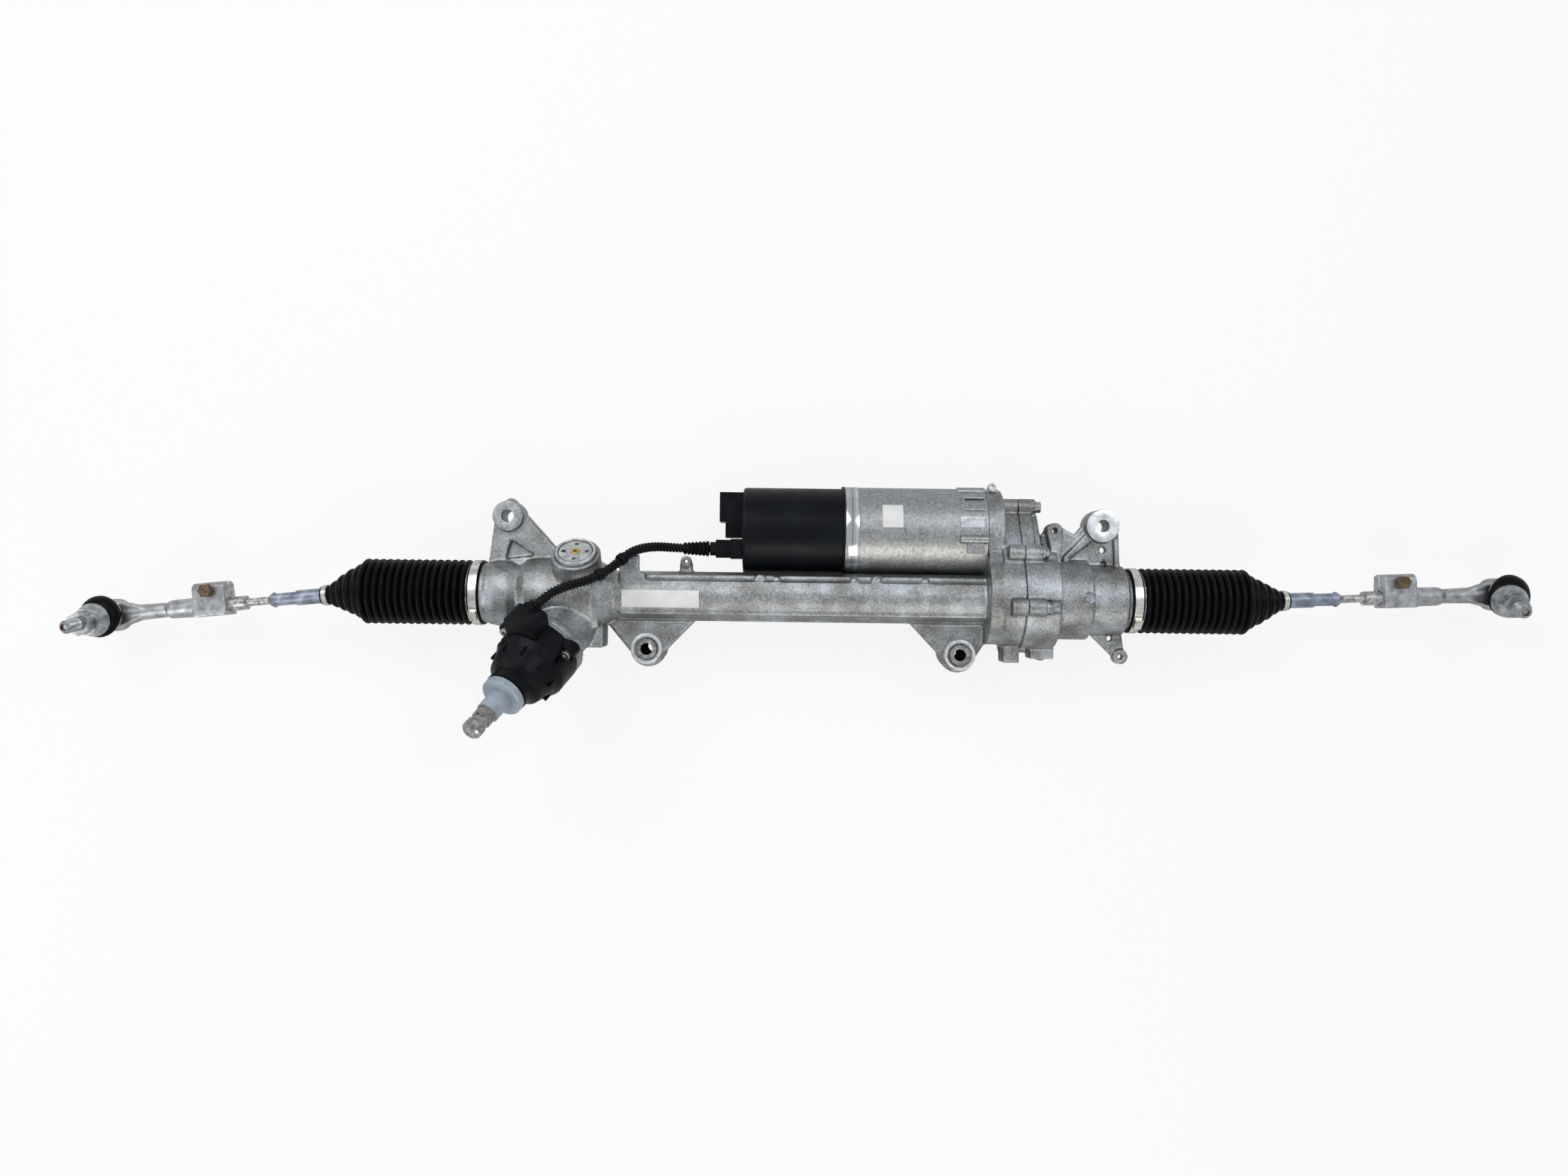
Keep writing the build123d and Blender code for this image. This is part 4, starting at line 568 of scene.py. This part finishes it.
black_nylon = finish("glass_filled_nylon", (14, 3), ((0.3, "090a0c"), (0.7, "14161a")), 0.0,
                     ((18, 2), 0.28, 0.42), ((0.9, 3), 0.06, 0.6), gloss=0.09)
grey_acetal = finish("grey_acetal", (12, 3), ((0.3, "8d97a3"), (0.7, "a5afba")), 0.0, 0.36,
                     ((1.2, 3), 0.04, 0.5))
turned_steel = finish("turned_steel", (5, 4), ((0.3, "6f6b66"), (0.5, "9c9a97"), (0.7, "c2c3c4")), 1.0, 0.3,
                      ((0.8, 3), 0.06, 0.5))
board_green = finish("solder_mask", (4, 3), ((0.3, "0e3a22"), (0.7, "175234")), 0.0, 0.35)
for node, material in (("sensor_housing", black_nylon), ("shaft_collar", grey_acetal),
                       ("input_shaft", turned_steel), ("sensor_flange", cast_aluminium),
                       ("sensor_board", board_green)):
    paint(frame["nodes"][node], material)

# Inside the housing. Ground and turned steel runs from the toothed bar to the nut and the pinion,
# with grey acetal where it slides or seats, and rubber for the belt and the seals.

for node in ("toothed_rack_bar", "ball_screw_shaft", "inner_sockets", "ball_nut", "nut_pulley", "nut_balls",
             "pinion", "torsion_bar", "mount_sleeves", "nut_bearing", "pinion_bearings", "yoke_spring"):
    paint(frame["nodes"][node], turned_steel)
for node in ("bar_guides", "rack_yoke", "inner_seat_left", "inner_seat_right", "outer_seat_left",
             "outer_seat_right"):
    paint(frame["nodes"][node], grey_acetal)
for node in ("shaft_seals", "drive_belt"):
    paint(frame["nodes"][node], moulded_rubber)
paint(frame["nodes"]["housing_screws"], zinc_plate)

# Motor. A cast-aluminium can with a splashed, speckled skin and one turned bright band, bolted to
# the belt housing; the electronics sit under a black painted cover with its connectors at the end.

motor_skin, tree, shader = new_material("speckled_can_aluminium")
fine, broad = clouds(tree, 1.5, 5, 0.7), clouds(tree, 30, 3)
tones = add_node(tree, "ShaderNodeValToRGB", {"Fac": clouds(tree, 3.5, 4, 0.7)},
                 stops=((0.3, "868785"), (0.5, "9a9c9c"), (0.7, "b1b4b5")))
spots = add_node(tree, "ShaderNodeMapRange", {"Value": fine}, From_Min=0.56, From_Max=0.62)
patches = add_node(tree, "ShaderNodeMapRange", {"Value": broad}, From_Min=0.48, From_Max=0.58)
splashed = add_node(tree, "ShaderNodeMath", {0: spots.outputs[0], 1: patches.outputs[0]},
                    operation="MULTIPLY")
mixed = add_node(tree, "ShaderNodeMix", {"Factor": splashed.outputs[0]}, data_type="RGBA")
mixed.inputs[7].default_value = colour("4d4b48")
tree.links.new(tones.outputs[0], mixed.inputs[6])
tree.links.new(mixed.outputs[2], shader.inputs["Base Color"])
surface(tree, shader, 1.0, (fine, 0.34, 0.46), (clouds(tree, 1.0, 5, 0.7), 0.15, 0.6))
black_enamel = finish("black_enamel", (30, 3), ((0.3, "06080b"), (0.7, "0d1218")), 0.0,
                      ((26, 3), 0.3, 0.42), ((1.4, 3), 0.03, 0.5), gloss=0.12)
copper = finish("enamelled_copper", (3, 3), ((0.3, "8a4a2c"), (0.7, "b46a42")), 1.0, 0.35)
for node, material in (("motor_can", motor_skin), ("electronics_cover", black_enamel),
                       ("motor_connectors", black_nylon), ("stator_coils", copper),
                       ("control_board", board_green)):
    paint(frame["nodes"][node], material)
for node in ("rotor_shaft", "motor_pulley", "motor_bearings", "stator_core", "rotor_core"):
    paint(frame["nodes"][node], turned_steel)

# What is cast and turned on the motor. A bright turned band takes the cover's rim. Lugs and ribs stand at the belt
# end, one of them faced and given a painted highlight in its colour, and a web there carries three small eyes with
# the same faced colour and painted highlight.

turned_band = finish("turned_bright_aluminium", (0.9, 2, 0.55, (1, 0.004, 0.004)),
                     ((0.35, "8d8f90"), (0.62, "d2d4d4")), 1.0, 0.16)
motor_axis_point = bar + Vector((0, 67.0, -22.0)) * mm
along_x = Vector((1, 0, 0))
band_profile = [(45.6, 39.6), (46.3, 40.0), (46.45, 40.4), (46.45, 52.6), (46.3, 53.0), (45.6, 53.2)]
rim_profile = [(45.6, 36.6), (46.5, 37.0), (46.9, 37.6), (46.9, 39.0), (46.5, 39.4), (45.6, 39.5)]
for name, profile, material, slot in (("motor_turned_band", band_profile, turned_band, "cast_aluminium"),
                                      ("cover_rim", rim_profile, black_enamel, "black_paint")):
    fit(lathe(name, profile, motor_axis_point, along_x, 128), material, "housing")
motor_blocks = {"motor_lug_faced_painted_highlight": ((153.5, 71.2, 17.0), (177.5, 82.0, 24.6), 0.8),
                "motor_lug_plain": ((160.5, 45.5, 15.0), (177.5, 61.0, 23.4), 0.8),
                "motor_lug_upper_rib": ((158.0, 88.0, 8.0), (178.5, 90.4, 20.0), 0.8),
                "motor_lug_outer_rib": ((158.0, 100.5, -4.0), (178.5, 102.9, 11.5), 0.8),
                "motor_lug_end_rib": ((156.5, 88.0, 4.0), (158.9, 102.9, 12.4), 0.8),
                "motor_eye_web": ((181, 90, -16), (197, 112, -7), 2.5)}
for name, (low, high, bevel) in motor_blocks.items():
    block = cast_block(low, high, bevel)
    block.name = name
    # The faced lug takes the bright faced colour, which is a painted highlight.
    fit(block, faced_with_painted_highlight if name == "motor_lug_faced_painted_highlight" else motor_skin, "housing")
small_eye_profile = [(2.0, 8.6), (2.4, 9.0), (3.9, 9.0), (4.4, 8.4), (4.4, 0), (2.0, 0), (2.0, 8.6)]
for number, place in enumerate(((189.7, 114.0, -14), (190.4, 104.6, -14), (194.0, 96.2, -14)), 1):
    eye = lathe(f"motor_eye_{number}", small_eye_profile, bar + Vector(place) * mm, up, 40)
    fit(eye, faced_with_painted_highlight, "housing")

# Yoke cap. A zinc-plated steel screw cap with a bright turned rim. Inside the rim, a flat dark ring is painted
# shade for a groove. A brass ring closes the middle round a flat dark disc, which is painted shade for a hole.

cap_zinc = finish("bright_zinc_plate", (7, 3), ((0.35, "a9abab"), (0.6, "d3d5d4")), 1.0, 0.36,
                  ((1.2, 3), 0.04, 0.5))
# Painted shade: flat dark sheets laid where the cap's groove and the plug's hole lie in shade.
painted_shade_sheet = finish("painted_shade_in_groove_and_hole", (2, 3), ((0.3, "1d1c1a"), (0.7, "383633")), 0.0, 0.6)
brass = finish("turned_brass", (2, 3), ((0.3, "a08638"), (0.7, "c9b262")), 1.0, 0.35)
plug_plastic = finish("natural_nylon", (3, 3), ((0.3, "a8975a"), (0.7, "cdbf84")), 0.0, 0.4)
paint(frame["nodes"]["yoke_cap"], cap_zinc)
paint(frame["nodes"]["yoke_cap_plug"], plug_plastic)
cap_lean = math.radians(40)
cap_way = Vector((0, math.cos(cap_lean), math.sin(cap_lean)))
cap_centre = bar + Vector((-227.5, 0, 0)) * mm + cap_way * 55.0 * mm
cap_rings = (("cap_rim", [(17.4, -0.3), (17.4, 0.5), (17.8, 0.9), (19.4, 0.9), (19.8, 0.5), (19.8, -0.3)],
              cap_zinc),
             ("cap_groove_painted_shade", [(16.3, -0.3), (16.3, 0.12), (17.3, 0.12), (17.3, -0.3)], painted_shade_sheet),
             ("cap_plug_ring", [(1.7, -0.3), (1.7, 0.5), (2.2, 0.8), (3.6, 0.8), (4.2, 0.4), (4.2, -0.3)],
              brass),
             ("cap_plug_hole_painted_shade", [(0.2, -0.3), (0.2, 0.1), (1.6, 0.1), (1.6, -0.3)], painted_shade_sheet))
for name, profile, material in cap_rings:
    fit(lathe(name, profile, cap_centre, cap_way, 96), material, "housing")

# Labels. Bare white printed film on the tube and the motor, with nothing printed on it.

label_film = finish("white_label_film", (20, 2), ((0.3, "dcdcda"), (0.7, "efefed")), 0.0, 0.45)
paint(frame["nodes"]["labels"], label_film)

# Sensor cable. Four wires in a corrugated nylon conduit, from the cap on the sensor to the plug on
# the motor. It is held at both ends and lies over the yoke boss and the clip lug.

route = [(-258.0, -11.0, 70.0), (-249.0, -3.0, 72.5), (-238.5, 4.0, 68.0), (-227.0, 9.0, 61.0),
         (-214.0, 12.5, 54.0), (-202.0, 18.5, 48.0), (-190.5, 26.0, 42.0), (-181.5, 35.0, 36.0),
         (-172.0, 43.0, 29.0), (-161.0, 47.0, 21.0), (-149.0, 48.5, 13.0), (-136.0, 48.0, 5.0),
         (-122.5, 47.5, -1.0), (-108.5, 47.5, -3.0), (-97.0, 47.5, -3.0)]
curve = bpy.data.curves.new("cable_route", "CURVE")
curve.dimensions = "3D"
line = curve.splines.new("NURBS")
line.points.add(len(route) - 1)
for point, place in zip(line.points, route):
    point.co = (*(bar + Vector(place) * mm), 1)
line.order_u = 3
line.use_endpoint_u = True
curve.resolution_u = 12
guide = bpy.data.objects.new("cable_route", curve)
bpy.context.collection.objects.link(guide)
trace = bpy.data.meshes.new_from_object(guide.evaluated_get(bpy.context.evaluated_depsgraph_get()))
path = [vertex.co.copy() for vertex in trace.vertices]
bpy.data.objects.remove(guide)
lengths = [0.0]
for a, b in zip(path, path[1:]):
    lengths.append(lengths[-1] + (b - a).length)


def along_path(distance):
    """Point and direction at a distance along the route."""
    for i in range(len(path) - 1):
        if distance <= lengths[i + 1] or i == len(path) - 2:
            share = (distance - lengths[i]) / (lengths[i + 1] - lengths[i])
            return path[i].lerp(path[i + 1], share), (path[i + 1] - path[i]).normalized()


conduit_pitch, crest_radius, groove_radius, around = 3.4, 4.8, 3.7, 20
steps = 4 * int(lengths[-1] / (conduit_pitch * mm))
conduit_mesh = bmesh.new()
rings = []
side_way = Vector((0, 0, 1))
for i in range(steps + 1):
    point, ahead = along_path(lengths[-1] * i / steps)
    side_way = (side_way - ahead * side_way.dot(ahead)).normalized()
    other_way = ahead.cross(side_way)
    radius = (crest_radius, crest_radius, groove_radius, groove_radius)[i % 4] * mm
    rings.append([conduit_mesh.verts.new(point + (side_way * math.cos(t) + other_way * math.sin(t)) * radius)
                  for t in [2 * math.pi * k / around for k in range(around)]])
for first, second in zip(rings, rings[1:]):
    for k in range(around):
        after = (k + 1) % around
        conduit_mesh.faces.new((first[k], first[after], second[after], second[k]))
conduit_mesh.faces.new(list(reversed(rings[0])))
conduit_mesh.faces.new(rings[-1])
bmesh.ops.recalc_face_normals(conduit_mesh, faces=conduit_mesh.faces)
data = bpy.data.meshes.new("sensor_conduit")
conduit_mesh.to_mesh(data)
conduit_mesh.free()
for face in data.polygons:
    face.use_smooth = True
conduit = bpy.data.objects.new("sensor_conduit", data)
bpy.context.collection.objects.link(conduit)
fit(conduit, black_nylon, "housing")
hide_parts("sensor_cable")

# Ends of the cable. A round cap on the sensor where the conduit turns in, a ribbed rubber sleeve that
# thickens towards the motor's plug, and two clips that tie it to the boss and the lug.

paint(frame["nodes"]["cable_fittings"], black_nylon)
sleeve_ribs, sleeve_start, rib_pitch, rib_growth = 7, -124.0, 3.8, 0.28
sleeve_profile = []
for i in range(sleeve_ribs):
    x, grow = sleeve_start + rib_pitch * i, rib_growth * i
    sleeve_profile += [(4.9 + grow, x), (6.1 + grow, x + 0.5), (6.1 + grow, x + 2.6), (4.9 + grow, x + 3.1)]
sleeve = lathe("plug_sleeve", sleeve_profile, bar + Vector((0, 47.5, -2.6)) * mm, along_x, 48)
fit(sleeve, moulded_rubber, "housing")
gland_profile = [(8.2, -3.0), (8.2, 1.4), (7.4, 2.4), (5.4, 2.6), (5.0, 1.8), (0.2, 1.8), (0.2, -3.0)]
gland = lathe("sensor_gland_cap", gland_profile, bar + Vector((-264.0, -15.5, 71.0)) * mm, up, 64)
fit(gland, black_nylon, "housing")
clip_profile = [(4.6, -3.4), (5.8, -3.0), (6.1, -2.4), (6.1, 2.4), (5.8, 3.0), (4.6, 3.4)]
for name, share in (("lug_clip", 0.5), ("boss_clip", 0.36)):
    place, way = along_path(lengths[-1] * share)
    fit(lathe(name, clip_profile, place, way, 40), black_nylon, "housing")

size = {"cad": [list(corner) for corner in cad_box], "visual": [list(corner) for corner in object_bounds()]}
